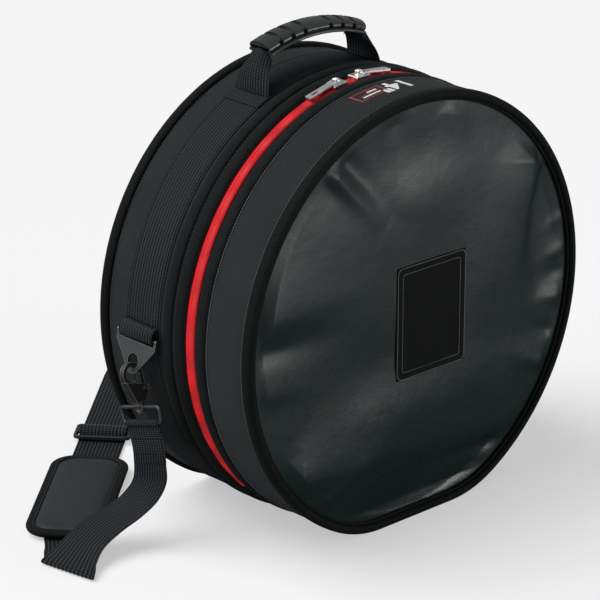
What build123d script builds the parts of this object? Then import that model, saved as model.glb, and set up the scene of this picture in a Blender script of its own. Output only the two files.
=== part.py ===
from build123d import *
import os
from math import acos, cos, degrees, radians, sin, sqrt

# Snare drum bag: a padded round case that stands on its rims, with its lid towards -Y.
# The bag's axis runs along Y, +Z is up, and the origin is on the floor under the bag.
# Lengths are in millimetres. Angles about the bag's axis start at +X and turn towards +Z.

# Driving sizes of the case
rim_radius = 203.0
back_rim_radius = 205.5
foot_sag = 11.4
foot_corner = 110.0
case_depth = 194.0
wall_radius = 201.0
cover_thickness = 1.6
foam_thickness = 5.4
lining_thickness = 1.0
rim_width = 11.0
rim_inner_radius = 196.0
rim_ease = 3.6
face_recess = 6.0

# Driving sizes of the zip
zip_y = -18.5
zip_gap = 1.2
coil_width = 4.1
coil_height = 2.6
tape_thickness = 0.8
zip_end_angle = 46.0
lid_seam_y = -38.0
flap_end_y = -26.0
roll_front_y = -11.5
roll_back_y = 15.0

# Driving sizes of the webbing
webbing_y = 41.0
webbing_width = 44.0
webbing_thickness = 1.8

# Driving sizes of the handle
handle_x = -5.0
handle_half_span = 58.0
handle_left_z = 419.5
handle_right_z = 416.5
handle_top_z = 428.0
handle_foot_offset = 68.5
grip_width = 26.0
grip_height = 13.0
groove_width = 5.0
groove_depth = 2.2
groove_places = (0.126, 0.248, 0.37, 0.63, 0.752, 0.874)

# Driving sizes of the shoulder strap and its hardware
plate_x = 208.0
plate_bar_z = 190.0
bar_radius = 1.6
plate_thickness = 2.0
plate_swing = 13.0
plate_drop = 34.0
hole_width = 13.0
hole_height = 14.0
hole_drop = 22.7
left_hook_lean = 17.0
right_hook_lean = -8.0
hook_rise = 1.3
strap_lift = 0.9
strap_angle = 40.9
pad_centre = (-205.0, 132.0)
pad_length = 166.0
pad_width = 66.0
adjuster_distance = 148.0

# Worked-out places
centre_height = rim_radius - foot_sag
front_y = -case_depth / 2
back_y = case_depth / 2
foam_radius = wall_radius - cover_thickness
lining_radius = foam_radius - foam_thickness
inner_radius = lining_radius - lining_thickness
webbing_front = webbing_y - webbing_width / 2
webbing_back = webbing_y + webbing_width / 2
webbing_radius = wall_radius + webbing_thickness
face_y = front_y + face_recess
rear_panel_y = back_y - face_recess
zip_start = -zip_end_angle
zip_end = 180 + zip_end_angle
coil_top = foam_radius + coil_height
strap_along = (cos(radians(strap_angle)), sin(radians(strap_angle)))
strap_across = (sin(radians(strap_angle)), -cos(radians(strap_angle)))

os.makedirs("parts", exist_ok=True)


def finish(piece, label):
    """Names a finished piece and writes it to its file."""
    piece.part.label = label
    export_step(piece.part, f"parts/{label}.step")


# Round walls

def outline(radius, lift=None):
    """A circle about the bag's axis, cut flat above the floor, with the two cut corners eased."""
    flat = rim_radius - radius if lift is None else lift
    with BuildSketch(Plane.XY, mode=Mode.PRIVATE) as shape:
        with Locations((0, centre_height)):
            Circle(radius)
        with Locations((0, flat - radius)):
            Rectangle(3 * radius, 2 * radius, mode=Mode.SUBTRACT)
        fillet(shape.vertices().group_by(Axis.Y)[0], foot_corner)
    return shape.sketch


def sector(inner, outer, start, end):
    """The strip between two radii and two angles about the bag's axis."""
    middle = (0, centre_height)
    with BuildSketch(Plane.XY, mode=Mode.PRIVATE) as shape:
        with BuildLine():
            far = CenterArc(middle, outer, start, end - start)
            near = CenterArc(middle, inner, start, end - start)
            Line(near @ 0, far @ 0)
            Line(near @ 1, far @ 1)
        make_face()
    return shape.sketch


def upright(y):
    """The upright sketch plane across the bag's axis at one depth, facing the lid side."""
    return Plane.XZ.offset(-y)


def band(label, front, back, outer, inner):
    """A closed ring of wall from one depth to another, its outer corners rounded where asked."""
    with BuildPart() as ring:
        with BuildSketch(upright(back)):
            add(outline(outer))
            add(outline(inner), mode=Mode.SUBTRACT)
        extrude(amount=back - front)
    finish(ring, label)


def disc(label, front, back, radius):
    """A full panel of the bag's outline."""
    with BuildPart() as panel:
        with BuildSketch(upright(back)):
            add(outline(radius))
        extrude(amount=back - front)
    finish(panel, label)


def strip(label, front, back, inner, outer, start, end, ease=0.0):
    """A strip laid along the round wall between two angles, its outer edges eased if asked."""
    with BuildPart() as piece:
        with BuildSketch(upright(back)):
            add(sector(inner, outer, start, end))
        extrude(amount=back - front)
        if ease:
            arcs = piece.edges().filter_by(GeomType.CIRCLE)
            chamfer(arcs.filter_by(lambda edge: edge.radius > (inner + outer) / 2), ease)
    finish(piece, label)


# Rear half: cover, padding, lining, webbing and the padded roll beside the zip
foam_front = roll_front_y + 2.5
cover_end = back_y - rim_width + 5
band("rear_side_cover", roll_back_y, cover_end, wall_radius, foam_radius)
band("rear_side_foam", foam_front, rear_panel_y - cover_thickness, foam_radius, lining_radius)
lining_end = rear_panel_y - cover_thickness - foam_thickness
band("rear_side_lining", foam_front, lining_end, lining_radius, inner_radius)
disc("back_panel", rear_panel_y - cover_thickness, rear_panel_y, foam_radius)
disc("back_lining", lining_end - lining_thickness, lining_end, inner_radius)
band("body_webbing", webbing_front, webbing_back, webbing_radius, wall_radius)

with BuildPart() as back_foam:
    with BuildSketch(upright(rear_panel_y - cover_thickness)):
        add(outline(lining_radius))
    extrude(amount=foam_thickness)
finish(back_foam, "back_foam")

with BuildPart() as back_binding:
    with BuildSketch(upright(back_y)):
        add(outline(back_rim_radius, 0))
        add(outline(rim_inner_radius), mode=Mode.SUBTRACT)
    extrude(amount=rim_width)
    with BuildSketch(upright(back_y - face_recess)):
        add(outline(wall_radius))
        add(outline(rim_inner_radius - 5), mode=Mode.SUBTRACT)
    extrude(amount=rim_width, mode=Mode.SUBTRACT)
    rims = back_binding.faces().filter_by(Axis.Y)
    corners = [edge for rim in rims for edge in rim.outer_wire().edges()]
    fillet([edge for edge in corners if edge.center().Y > back_y - 1], rim_ease)
    fillet(back_binding.edges().group_by(Axis.Y)[0].group_by(SortBy.LENGTH)[-1], 1.5)
finish(back_binding, "back_binding")

# The roll stands proud of the wall as two soft folds with a valley between them
roll_mid = (roll_front_y + roll_back_y) / 2
with BuildPart() as zip_roll:
    with BuildSketch(upright(roll_back_y)):
        add(outline(rim_radius))
        add(outline(foam_radius), mode=Mode.SUBTRACT)
    extrude(amount=roll_back_y - roll_front_y)
    with BuildSketch(upright(roll_mid + 0.9)):
        add(sector(wall_radius + 0.6, rim_radius + 2, zip_start, zip_end))
    extrude(amount=1.8, mode=Mode.SUBTRACT)
finish(zip_roll, "rear_zip_roll")

# Lid: cover, padding, lining, face and the flap beside the zip
lid_foam_end = lid_seam_y + 2.0
lining_front = face_y + cover_thickness + foam_thickness
band("lid_side_cover", front_y + rim_width - 5, lid_seam_y, wall_radius, foam_radius)
band("lid_side_foam", face_y + cover_thickness, lid_foam_end, foam_radius, lining_radius)
band("lid_side_lining", lining_front, lid_foam_end, lining_radius, inner_radius)
disc("lid_face_panel", face_y, face_y + cover_thickness, foam_radius)
disc("lid_face_foam", face_y + cover_thickness, lining_front, lining_radius)
disc("lid_face_lining", lining_front, lining_front + lining_thickness, inner_radius)
band("lid_zip_flap", lid_seam_y, flap_end_y, wall_radius, foam_radius)
band("lid_piping", face_y - 2.4, face_y, 194.6, 192.2)

with BuildPart() as front_binding:
    with BuildSketch(upright(front_y + rim_width)):
        add(outline(rim_radius))
        add(outline(rim_inner_radius), mode=Mode.SUBTRACT)
    extrude(amount=rim_width)
    with BuildSketch(upright(front_y + rim_width)):
        add(outline(wall_radius))
        add(outline(rim_inner_radius - 5), mode=Mode.SUBTRACT)
    extrude(amount=rim_width - face_recess, mode=Mode.SUBTRACT)
    rims = front_binding.faces().filter_by(Axis.Y)
    corners = [edge for rim in rims for edge in rim.outer_wire().edges()]
    fillet([edge for edge in corners if edge.center().Y < front_y + 1], rim_ease)
    fillet(front_binding.edges().group_by(Axis.Y)[-1].group_by(SortBy.LENGTH)[-1], 1.5)
finish(front_binding, "front_binding")

patch_centre = (16.0, 188.0)
patch_size = (84.0, 106.0)
with BuildPart() as face_patch:
    with BuildSketch(upright(face_y)):
        with Locations(patch_centre):
            RectangleRounded(*patch_size, 10)
    extrude(amount=0.9)
finish(face_patch, "face_patch")

strip("size_label", -76, -44, wall_radius, wall_radius + 0.6, 79, 102)

# Zip: tapes all the way round, and coils from one end stop over the top to the other
tape_radius = foam_radius - tape_thickness
lid_tape_edge = zip_y - zip_gap / 2 - 0.1
rear_tape_edge = zip_y + zip_gap / 2 + 0.1
band("zip_tape_lid", lid_foam_end, lid_tape_edge, foam_radius, tape_radius)
band("zip_tape_rear", rear_tape_edge, foam_front, foam_radius, tape_radius)
lid_coil_back = zip_y - zip_gap / 2
rear_coil_front = zip_y + zip_gap / 2
strip(
    "zip_coil_lid", lid_coil_back - coil_width, lid_coil_back,
    foam_radius, coil_top, zip_start, zip_end, 0.9,
)
strip(
    "zip_coil_rear", rear_coil_front, rear_coil_front + coil_width,
    foam_radius, coil_top, zip_start, zip_end, 0.9,
)

# The bag's hinge: the plain strip under the bag where the zip leaves the two halves joined
with BuildPart() as hinge_gusset:
    with BuildSketch(upright(roll_front_y)):
        add(outline(foam_radius + 0.8))
        add(outline(foam_radius), mode=Mode.SUBTRACT)
        with Locations((0, centre_height)):
            Rectangle(3 * rim_radius, 2 * rim_radius, align=(Align.CENTER, Align.MIN), mode=Mode.SUBTRACT)
        with BuildLine():
            reach = 2 * rim_radius
            Polyline(
                (0, centre_height),
                (reach * cos(radians(zip_start - 1)), centre_height + reach * sin(radians(zip_start - 1))),
                (0, centre_height - 2 * reach),
                (-reach * cos(radians(zip_start - 1)), centre_height + reach * sin(radians(zip_start - 1))),
                close=True,
            )
        make_face(mode=Mode.INTERSECT)
    extrude(amount=roll_front_y - flap_end_y)
finish(hinge_gusset, "hinge_gusset")

# Zip sliders and their pulls, one each side of the top
zip_meeting_angle = 93.9
slider_angle = 3.8
slider_half_length = 8.0
slider_half_width = 6.2
crown_radius = 206.1
pin_radius = 1.2
pull_reach = 36.0
pull_droop = 7.0


def track_plane(angle, y):
    """The plane across the zip's line: x runs out from the bag's axis, y along the zip."""
    return Plane(
        origin=(0, y, centre_height),
        x_dir=(cos(radians(angle)), 0, sin(radians(angle))),
        z_dir=(0, -1, 0),
    )


def zip_slider(label, side):
    """Two curved plates joined by a post, with side lips that guide the coils, and a pierced crown."""
    angle = zip_meeting_angle - side * slider_angle
    half = degrees(slider_half_length / rim_radius)
    front = zip_y - slider_half_width
    width = 2 * slider_half_width
    with BuildPart() as slider:
        with BuildSketch(upright(zip_y + slider_half_width)):
            add(sector(coil_top + 0.4, coil_top + 2.2, angle - half, angle + half))
            add(sector(195.2, 196.9, angle - half, angle + half))
        extrude(amount=width)
        for lip_y, lip_radius in ((front, coil_top + 0.1), (front + width - 1, foam_radius + 0.8)):
            with BuildSketch(upright(lip_y + 1)):
                add(sector(lip_radius, coil_top + 0.5, angle - half, angle + half))
                add(sector(196.8, 198.2, angle - half, angle + half))
            extrude(amount=1)
        nose = angle + side * half
        post = sorted((nose, nose - side * 1.5))
        with BuildSketch(upright(zip_y + 0.4)):
            add(sector(196.8, coil_top + 0.5, post[0], post[1]))
        extrude(amount=0.8)
        with BuildSketch(track_plane(angle, zip_y)):
            with Locations((crown_radius, 0)):
                Circle(2.7)
            with Locations((crown_radius - 1.4, 0)):
                Rectangle(2.8, 5.4)
            with Locations((crown_radius, 0)):
                Circle(pin_radius + 0.08, mode=Mode.SUBTRACT)
        extrude(amount=1.5, both=True)
        ends = slider.edges().filter_by(Axis.Y).group_by(SortBy.LENGTH)[-1]
        fillet(ends.filter_by(lambda edge: edge.center().Z > centre_height + coil_top - 1), 0.7)
    finish(slider, label)


def zip_pull(label, side):
    """A forked tab whose pin goes through the slider's crown; it lies back along the zip."""
    angle = zip_meeting_angle - side * slider_angle
    crown = track_plane(angle, zip_y)
    pivot = crown.from_local_coords((crown_radius, 0, 0))
    lie = radians(angle + 90 + pull_droop) if side < 0 else radians(angle - 90 - pull_droop)
    along = Vector(cos(lie), 0, sin(lie))
    flat = Plane(origin=pivot, x_dir=along, z_dir=along.cross(Vector(0, 1, 0)) * side)
    with BuildPart() as pull:
        with BuildSketch(flat.offset(-0.8)):
            with Locations((0.4, 0)):
                Rectangle(8.4, 8.6, align=(Align.MIN, Align.CENTER))
            with BuildLine():
                Polyline((7, -3.2), (pull_reach - 2, -4.4), (pull_reach - 2, 4.4), (7, 3.2), close=True)
            make_face()
            with Locations((pull_reach - 3, 0)):
                SlotOverall(8.8, 5, rotation=90)
            with Locations((-1, 0)):
                Rectangle(6.2, 3.8, align=(Align.MIN, Align.CENTER), mode=Mode.SUBTRACT)
            with Locations((pull_reach - 9, 0)):
                SlotOverall(8, 2.4, mode=Mode.SUBTRACT)
        extrude(amount=1.6)
        with BuildSketch(Plane(origin=pivot, x_dir=(1, 0, 0), z_dir=(0, 1, 0))):
            Circle(pin_radius)
        extrude(amount=4.3, both=True)
    finish(pull, label)


for name, side in (("left", -1), ("right", 1)):
    zip_slider(f"zip_slider_{name}", side)
    zip_pull(f"zip_pull_{name}", side)

# Carry handle: a moulded grip on a webbing core, whose ends open out into two legs
handle_plane = upright(webbing_y)
with BuildPart() as handle_grip:
    with BuildLine(handle_plane):
        arch = ThreePointArc(
            (handle_x - handle_half_span, handle_left_z),
            (handle_x, handle_top_z),
            (handle_x + handle_half_span, handle_right_z),
        )
    with BuildSketch(Plane(origin=arch @ 0, x_dir=(0, 1, 0), z_dir=arch % 0)):
        Ellipse(grip_width / 2, grip_height / 2)
        with Locations((0, -grip_height / 2 + 2.4)):
            RectangleRounded(grip_width + 4, 2.8, 1.2)
        RectangleRounded(22.3, 3.3, 1, mode=Mode.SUBTRACT)
    sweep(path=arch)
    for place in groove_places:
        with BuildSketch(Plane(origin=arch @ place, x_dir=(0, 1, 0), z_dir=arch % place)):
            Ellipse(grip_width / 2 + 1, grip_height / 2 + 1)
            Ellipse(grip_width / 2 - groove_depth, grip_height / 2 - groove_depth, mode=Mode.SUBTRACT)
            with Locations((0, -grip_height / 2 + 4.4)):
                Rectangle(
                    grip_width + 4, grip_height, align=(Align.CENTER, Align.MAX), mode=Mode.SUBTRACT,
                )
        extrude(amount=groove_width / 2, both=True, mode=Mode.SUBTRACT)
finish(handle_grip, "handle_grip")

with BuildPart() as handle_core:
    with BuildLine(handle_plane):
        core_line = ThreePointArc(arch @ 0, arch @ 0.5, arch @ 1)
    with BuildSketch(Plane(origin=core_line @ 0, x_dir=(0, 1, 0), z_dir=core_line % 0)):
        RectangleRounded(22, 3, 0.9)
    sweep(path=core_line)
finish(handle_core, "handle_core")

# Each leg station: offset from the handle's middle, height, width, thickness, lean of its line
foot_tab_radius = webbing_radius + 2.4
leg_stations = [
    (handle_foot_offset, 395.0, 41.0, 4.0, 92),
    (handle_foot_offset - 1.5, 403.5, 38.0, 5.0, 102),
    (handle_foot_offset - 4.5, 411.5, 30.0, 7.0, 120),
]


def handle_leg(label, side):
    """Webbing that folds from its full width at the foot to a narrow neck at the grip."""
    foot = handle_x + side * handle_foot_offset
    foot_z = centre_height + sqrt(foot_tab_radius**2 - foot**2) + 1.1
    neck_z = handle_left_z if side < 0 else handle_right_z
    stations = [(handle_foot_offset, foot_z, 44, 4, 90), *leg_stations]
    stations.append((handle_half_span + 0.4, neck_z - 0.2, 23, 8, 160))
    with BuildPart() as leg:
        for offset_x, height, width, thickness, lean in stations:
            line = Vector(side * cos(radians(lean)), 0, sin(radians(lean)))
            place = (handle_x + side * offset_x, webbing_y, height)
            with BuildSketch(Plane(origin=place, x_dir=(0, 1, 0), z_dir=line)):
                Rectangle(width, thickness)
        loft(ruled=True)
    finish(leg, label)


for name, side in (("left", -1), ("right", 1)):
    handle_leg(f"handle_leg_{name}", side)
    foot_x = handle_x + side * (handle_foot_offset - 3)
    foot_angle = degrees(acos(foot_x / foot_tab_radius))
    tab = sorted((foot_angle, foot_angle - side * 5))
    strip(
        f"handle_foot_{name}", webbing_front, webbing_back,
        webbing_radius, foot_tab_radius, tab[0], tab[1],
    )

# Ring plates, each hung from a folded webbing chape on the side of the bag


def side_plane(side, y=webbing_y):
    """An upright plane across the bag's axis, whose x runs outwards on the chosen side."""
    return Plane(origin=(0, y, 0), x_dir=(side, 0, 0), z_dir=(0, -side, 0))


def chape(label, side):
    """A folded webbing loop: flat on the wall above, round the ring plate's bar below."""
    half = webbing_width / 2
    with BuildPart() as loop:
        with BuildSketch(side_plane(side)):
            add(sector(webbing_radius + 0.1, webbing_radius + 3.2, 0.3, 3.2))
            with Locations((plate_x, plate_bar_z)):
                Circle(4.2)
            with BuildLine():
                Polyline(
                    (plate_x - 4.1, plate_bar_z),
                    (plate_x + 4.2, plate_bar_z),
                    (plate_x - 2.2, plate_bar_z + 10),
                    (plate_x - 5.0, plate_bar_z + 10),
                    close=True,
                )
            make_face()
            with Locations((plate_x, plate_bar_z)):
                Circle(bar_radius + 0.08, mode=Mode.SUBTRACT)
        extrude(amount=half, both=True)
    finish(loop, label)


def swung_plane(side):
    """The plane of a ring plate as it hangs from its bar: x along the bar, y up the plate."""
    lean = radians(plate_swing)
    return Plane(
        origin=(side * plate_x, webbing_y, plate_bar_z),
        x_dir=(0, 1, 0),
        z_dir=(cos(lean), 0, side * sin(lean)),
    )


def ring_plate(label, side):
    """A stamped three-cornered plate with an oval hole, and a bar across its two horns."""
    face = swung_plane(side)
    corner_y = webbing_width / 2 + 1.0
    shoulder = -7.1
    with BuildPart() as plate:
        with BuildSketch(face):
            with Locations((0, 8.5 - plate_drop)):
                Circle(8.5)
            with Locations((-corner_y, shoulder), (corner_y, shoulder)):
                Circle(2.1)
            make_hull()
            with Locations((0, -hole_drop)):
                Ellipse(hole_width / 2, hole_height / 2, mode=Mode.SUBTRACT)
            with Locations((-corner_y - 0.9, shoulder), (corner_y + 0.9, shoulder)):
                Rectangle(2.4, -shoulder, align=(Align.CENTER, Align.MIN))
        extrude(amount=plate_thickness / 2, both=True)
        with BuildSketch(side_plane(side)):
            with Locations((plate_x, plate_bar_z)):
                Circle(bar_radius)
        extrude(amount=corner_y + 2.1, both=True)
    finish(plate, label)


# Snap hooks: the eye hangs in the plate's hole, the gate shuts it, and the loop swivels below
eye_centre = (3.0, -5.6)
eye_outer = 10.6
eye_inner = 6.9
gate_pivot = (-5.6, -19.5)
gate_top = -6.4
stem_u = 1.0
stem_top = -31.0
loop_v = -35.6
loop_foot_v = -50.0
loop_half_top = 26.5
loop_half_foot = 25.2
loop_rod = 1.7


def hook_plane(side):
    """The plane of one hook: x outwards, y up along the hook, origin on the edge of the plate's hole."""
    lean = radians(left_hook_lean if side < 0 else right_hook_lean)
    up = Vector(0, sin(lean), cos(lean))
    out = Vector(side, 0, 0)
    edge = swung_plane(side).from_local_coords((0, -hole_drop - hole_height / 2, 0))
    return Plane(origin=edge + Vector(0, 0, hook_rise), x_dir=out, z_dir=out.cross(up))


def snap_hook(label, side):
    """A cast hook: an open eye, a tapered shank slotted for the gate, and a swivel stem with a head."""
    plane = hook_plane(side)
    with BuildPart() as hook:
        with BuildSketch(plane):
            with Locations(eye_centre):
                Circle(eye_outer)
                Circle(eye_inner, mode=Mode.SUBTRACT)
            with Locations((1.2, gate_top)):
                Rectangle(14, 12, align=(Align.MAX, Align.MAX), mode=Mode.SUBTRACT)
        extrude(amount=2.3, both=True)
        with BuildSketch(plane):
            with BuildLine():
                Polyline(
                    (-8.4, -18.6), (-7.2, -16.4), (1.2, -14.2), (12.6, -11.0),
                    (5.6, stem_top), (-3.6, stem_top), (-8.4, -24.0), close=True,
                )
            make_face()
        extrude(amount=4.0, both=True)
        with BuildSketch(plane):
            with Locations((0.4, -13)):
                Rectangle(12, 11.5, align=(Align.MAX, Align.MAX))
        extrude(amount=2.6, both=True, mode=Mode.SUBTRACT)
        with BuildSketch(plane):
            with Locations(gate_pivot):
                Circle(1.28)
        extrude(amount=5, both=True, mode=Mode.SUBTRACT)
        base = Plane(origin=plane.from_local_coords((stem_u, stem_top, 0)), z_dir=plane.y_dir * -1)
        with BuildSketch(base):
            Circle(4.6)
        extrude(amount=2.2)
        with BuildSketch(base.offset(2.2)):
            Circle(2.3)
        extrude(amount=5.2)
        with BuildSketch(base.offset(7.2)):
            Circle(3.6)
        extrude(amount=1.8)
    finish(hook, label)


def hook_gate(label, side):
    """The hook's sprung gate: a bar that shuts the eye, and a broad thumb tab below the pivot."""
    plane = hook_plane(side)
    with BuildPart() as gate:
        with BuildSketch(plane):
            with Locations(gate_pivot):
                Circle(2.6)
            with BuildLine():
                tip = gate_top - 0.3
                Polyline((-8.0, -19.5), (-7.6, tip), (-4.2, tip), (-3.4, -19.5), close=True)
            make_face()
            with Locations(gate_pivot):
                Circle(1.28, mode=Mode.SUBTRACT)
        extrude(amount=2.4, both=True)
        with BuildSketch(plane):
            with BuildLine():
                Polyline((-8.8, -17.5), (-11.2, -18.5), (-11.2, -20.5), (-8.8, -21.6), close=True)
            make_face()
        extrude(amount=6, both=True)
        with BuildSketch(plane):
            with Locations((-8.2, -19.4)):
                Rectangle(1.6, 3.6)
        extrude(amount=2.4, both=True)
    finish(gate, label)


def gate_pin(label, side):
    """The rivet that the gate turns on, its ends flush with the shank's ears."""
    with BuildPart() as pin:
        with BuildSketch(hook_plane(side)):
            with Locations(gate_pivot):
                Circle(1.2)
        extrude(amount=4.0, both=True)
    finish(pin, label)


def swivel_loop(label, side):
    """A wire loop, wide at the top, held by a boss that turns on the hook's stem."""
    plane = hook_plane(side)
    middle = plane.from_local_coords((stem_u, loop_v, 0))
    foot = plane.from_local_coords((stem_u, loop_foot_v, 0))
    across = plane.z_dir
    with BuildPart() as loop:
        corners = [
            middle - across * loop_half_top,
            middle + across * loop_half_top,
            foot + across * loop_half_foot,
            foot - across * loop_half_foot,
        ]
        with BuildLine():
            frame_line = FilletPolyline(*corners, radius=3.2, close=True)
        with BuildSketch(Plane(origin=frame_line @ 0, z_dir=frame_line % 0)):
            Circle(loop_rod)
        sweep(path=frame_line)
        with BuildSketch(Plane(origin=middle + plane.y_dir * 2.3, z_dir=plane.y_dir * -1)):
            Circle(4.4)
        extrude(amount=4.6)
        with BuildSketch(Plane(origin=middle + plane.y_dir * 4, z_dir=plane.y_dir * -1)):
            Circle(2.37)
        extrude(amount=8, mode=Mode.SUBTRACT)
    finish(loop, label)


def strap_end(label, side):
    """The strap's sewn end: two layers of webbing that close round the loop's foot."""
    with BuildPart() as end:
        with BuildSketch(hook_plane(side)):
            with Locations((stem_u, loop_foot_v)):
                Circle(loop_rod + 2.2)
                Rectangle(4.0, 14, align=(Align.CENTER, Align.MAX))
                Circle(loop_rod + 0.1, mode=Mode.SUBTRACT)
        extrude(amount=webbing_width / 2, both=True)
    finish(end, label)


for name, side in (("left", -1), ("right", 1)):
    chape(f"chape_{name}", side)
    ring_plate(f"ring_plate_{name}", side)
    snap_hook(f"snap_hook_{name}", side)
    hook_gate(f"hook_gate_{name}", side)
    gate_pin(f"gate_pin_{name}", side)
    swivel_loop(f"swivel_loop_{name}", side)
    strap_end(f"strap_end_{name}", side)

# Shoulder strap: flat ribbons, given by stations of place, direction of the width, and face
strap_height = strap_lift + webbing_thickness / 2
layer_step = webbing_thickness + 0.2
fold_gap = 0.3
upper_height = strap_height + webbing_thickness + 2 * fold_gap
up = (0, 0, 1)
down = (0, 0, -1)


def webbing(label, runs, creases=(), thickness=webbing_thickness):
    """Ribbons through stations, joined by creases. A crease is half a ring drawn along the fold."""
    with BuildPart() as strap:
        for stations in runs:
            for place, across, face in stations:
                spread = Vector(*across)
                reach = webbing_width if spread.length < 2 else spread.length
                unit = spread.normalized()
                along = unit.cross(Vector(*face)).normalized()
                with BuildSketch(Plane(origin=place, x_dir=unit, z_dir=along)):
                    Rectangle(reach, thickness)
            loft(ruled=True)
        for centre, spread, outward, inner in creases:
            line = Vector(*spread)
            start = Vector(*centre) - line / 2
            with BuildSketch(Plane(origin=start, x_dir=outward, z_dir=line.normalized())):
                Circle(inner + thickness)
                Circle(inner, mode=Mode.SUBTRACT)
                Rectangle(20, 20, align=(Align.MAX, Align.CENTER), mode=Mode.SUBTRACT)
            extrude(amount=line.length)
    finish(strap, label)


def hung_station(side, drop, flip=1):
    """A station on the strap where it hangs below its hook."""
    plane = hook_plane(side)
    place = plane.from_local_coords((stem_u, loop_foot_v - drop, 0))
    return place, tuple(plane.z_dir * flip), tuple(plane.x_dir * flip)


def on_strap(distance, aside=0.0, height=strap_height):
    """A point of the strap's straight run, measured along it from the pad's middle."""
    x = pad_centre[0] + distance * strap_along[0] + aside * strap_across[0]
    y = pad_centre[1] + distance * strap_along[1] + aside * strap_across[1]
    return (x, y, height)


def raised(point, height):
    """The same place at another height."""
    return (point[0], point[1], height)


left_floor = ((-270, 41, 15), (0.08, -1.0, 0), (-0.30, 0, 0.95))
left_bend = (-214.0, 20.5, 78.0)
left_across = (0.0, -0.963, 0.27)
left_drop = [
    (left_bend, left_across, (-1, 0, 0)),
    ((-212.5, 23.5, 59), (0.05, -0.97, 0.22), (-0.95, 0, -0.3)),
    ((-218.5, 30, 43), (0.12, -0.97, 0.16), (-0.80, 0, 0.60)),
    ((-232, 37, 31), (0.20, -0.96, 0.10), (-0.45, 0, 0.90)),
    ((-250, 43, 22), (0.14, -0.99, 0.02), (-0.30, 0, 0.95)),
    left_floor,
]
left_hang = [hung_station(-1, 14.3, -1), (raised(left_bend, 78.3), left_across, (-1, 0, 0))]
webbing("strap_drop_upper_left", [left_hang], thickness=3.6)
webbing("strap_drop_lower_left", [left_drop])

# The run on the floor turns over at the left, passes the pad and the adjuster, and folds behind the bag
left_fold = (-305.0, 26.0, upper_height)
left_crease = (0.17 * 58, -0.985 * 58, 0)
back_fold = on_strap(359)
right_floor = (172.0, 117.0, strap_height)
onward = Vector(right_floor[0] - back_fold[0], right_floor[1] - back_fold[1], 0).normalized()
onward_across = (-onward.Y, onward.X, 0)
fold_line = (Vector(strap_along[0], strap_along[1], 0) + onward).normalized()
fold_length = webbing_width / abs(fold_line.X * strap_across[0] + fold_line.Y * strap_across[1])
back_crease = tuple(fold_line * fold_length)
fold_outward = (-fold_line.Y, fold_line.X, 0)
run_across = (strap_across[0], strap_across[1], 0)
fold_middle = strap_height + 1.5 * layer_step


def beyond_fold(distance, height):
    """A point of the run between the fold behind the bag and the right-hand side."""
    return (back_fold[0] + distance * onward.X, back_fold[1] + distance * onward.Y, height)


def folded_run(level):
    """The stations of one layer after the fold: it clears the run below, then comes to the floor."""
    high = fold_middle + (level + 0.5) * layer_step
    low = strap_height + level * layer_step
    return [
        (raised(back_fold, high), back_crease, up),
        (beyond_fold(45, high), onward_across, up),
        (beyond_fold(112, low), onward_across, up),
        (raised(right_floor, low), onward_across, up),
    ]


shoulder_runs = [
    [left_floor, ((-290, 34, 8), (0.14, -0.99, 0), (-0.3, 0, 0.95)), (left_fold, left_crease, up)],
    [
        (raised(left_fold, strap_height), left_crease, down),
        (on_strap(-100), run_across, down),
        (back_fold, back_crease, down),
    ],
    folded_run(1),
]
shoulder_creases = [
    (raised(left_fold, (strap_height + upper_height) / 2), left_crease, (-0.985, -0.17, 0), fold_gap),
    (raised(back_fold, fold_middle), back_crease, fold_outward, layer_step + 0.1),
]
webbing("shoulder_strap", shoulder_runs, shoulder_creases)

return_height = strap_height + layer_step
return_start = adjuster_distance + 14.3
return_runs = [
    [
        (on_strap(return_start, 0, return_height), run_across, down),
        (raised(back_fold, return_height), back_crease, down),
    ],
    folded_run(0),
]
return_crease = (raised(back_fold, fold_middle), back_crease, fold_outward, 0.1)
webbing("strap_return", return_runs, [return_crease])

pair_height = strap_height + layer_step / 2
right_drop = [
    (raised(right_floor, pair_height), onward_across, up),
    ((191, 93, 11), (0.88, 0.47, 0), (-0.12, 0.22, 0.94)),
    ((204, 73, 27), (0.70, 0.70, 0.10), (-0.46, 0.34, 0.80)),
    ((209, 59, 52), (0.35, 0.93, 0.20), (-0.90, 0.26, 0.34)),
    hung_station(1, 38, -1),
]
webbing("strap_drop_lower_right", [right_drop], thickness=3.8)
webbing("strap_drop_upper_right", [[hung_station(1, 14.3), hung_station(1, 37.7)]], thickness=3.6)

# Adjuster: a moulded frame with two slots, which sits on the strap
strap_plane = Plane(origin=on_strap(0, 0, 0), x_dir=(strap_along[0], strap_along[1], 0), z_dir=(0, 0, 1))
frame_bottom = return_height + webbing_thickness / 2 + 0.1
frame_thickness = 3.0
frame_length = 30.0
frame_width = 54.0
slot_length = 9.5
slot_centre = 6.9
loop_wall = 1.4

with BuildPart() as strap_adjuster:
    with BuildSketch(strap_plane.offset(frame_bottom)):
        with Locations((adjuster_distance, 0)):
            RectangleRounded(frame_length, frame_width, 5)
        with Locations((adjuster_distance - slot_centre, 0), (adjuster_distance + slot_centre, 0)):
            RectangleRounded(slot_length, webbing_width + 3, 1.5, mode=Mode.SUBTRACT)
    extrude(amount=frame_thickness)
    fillet(strap_adjuster.edges().group_by(Axis.Z)[-1], 0.8)
finish(strap_adjuster, "strap_adjuster")

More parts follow.
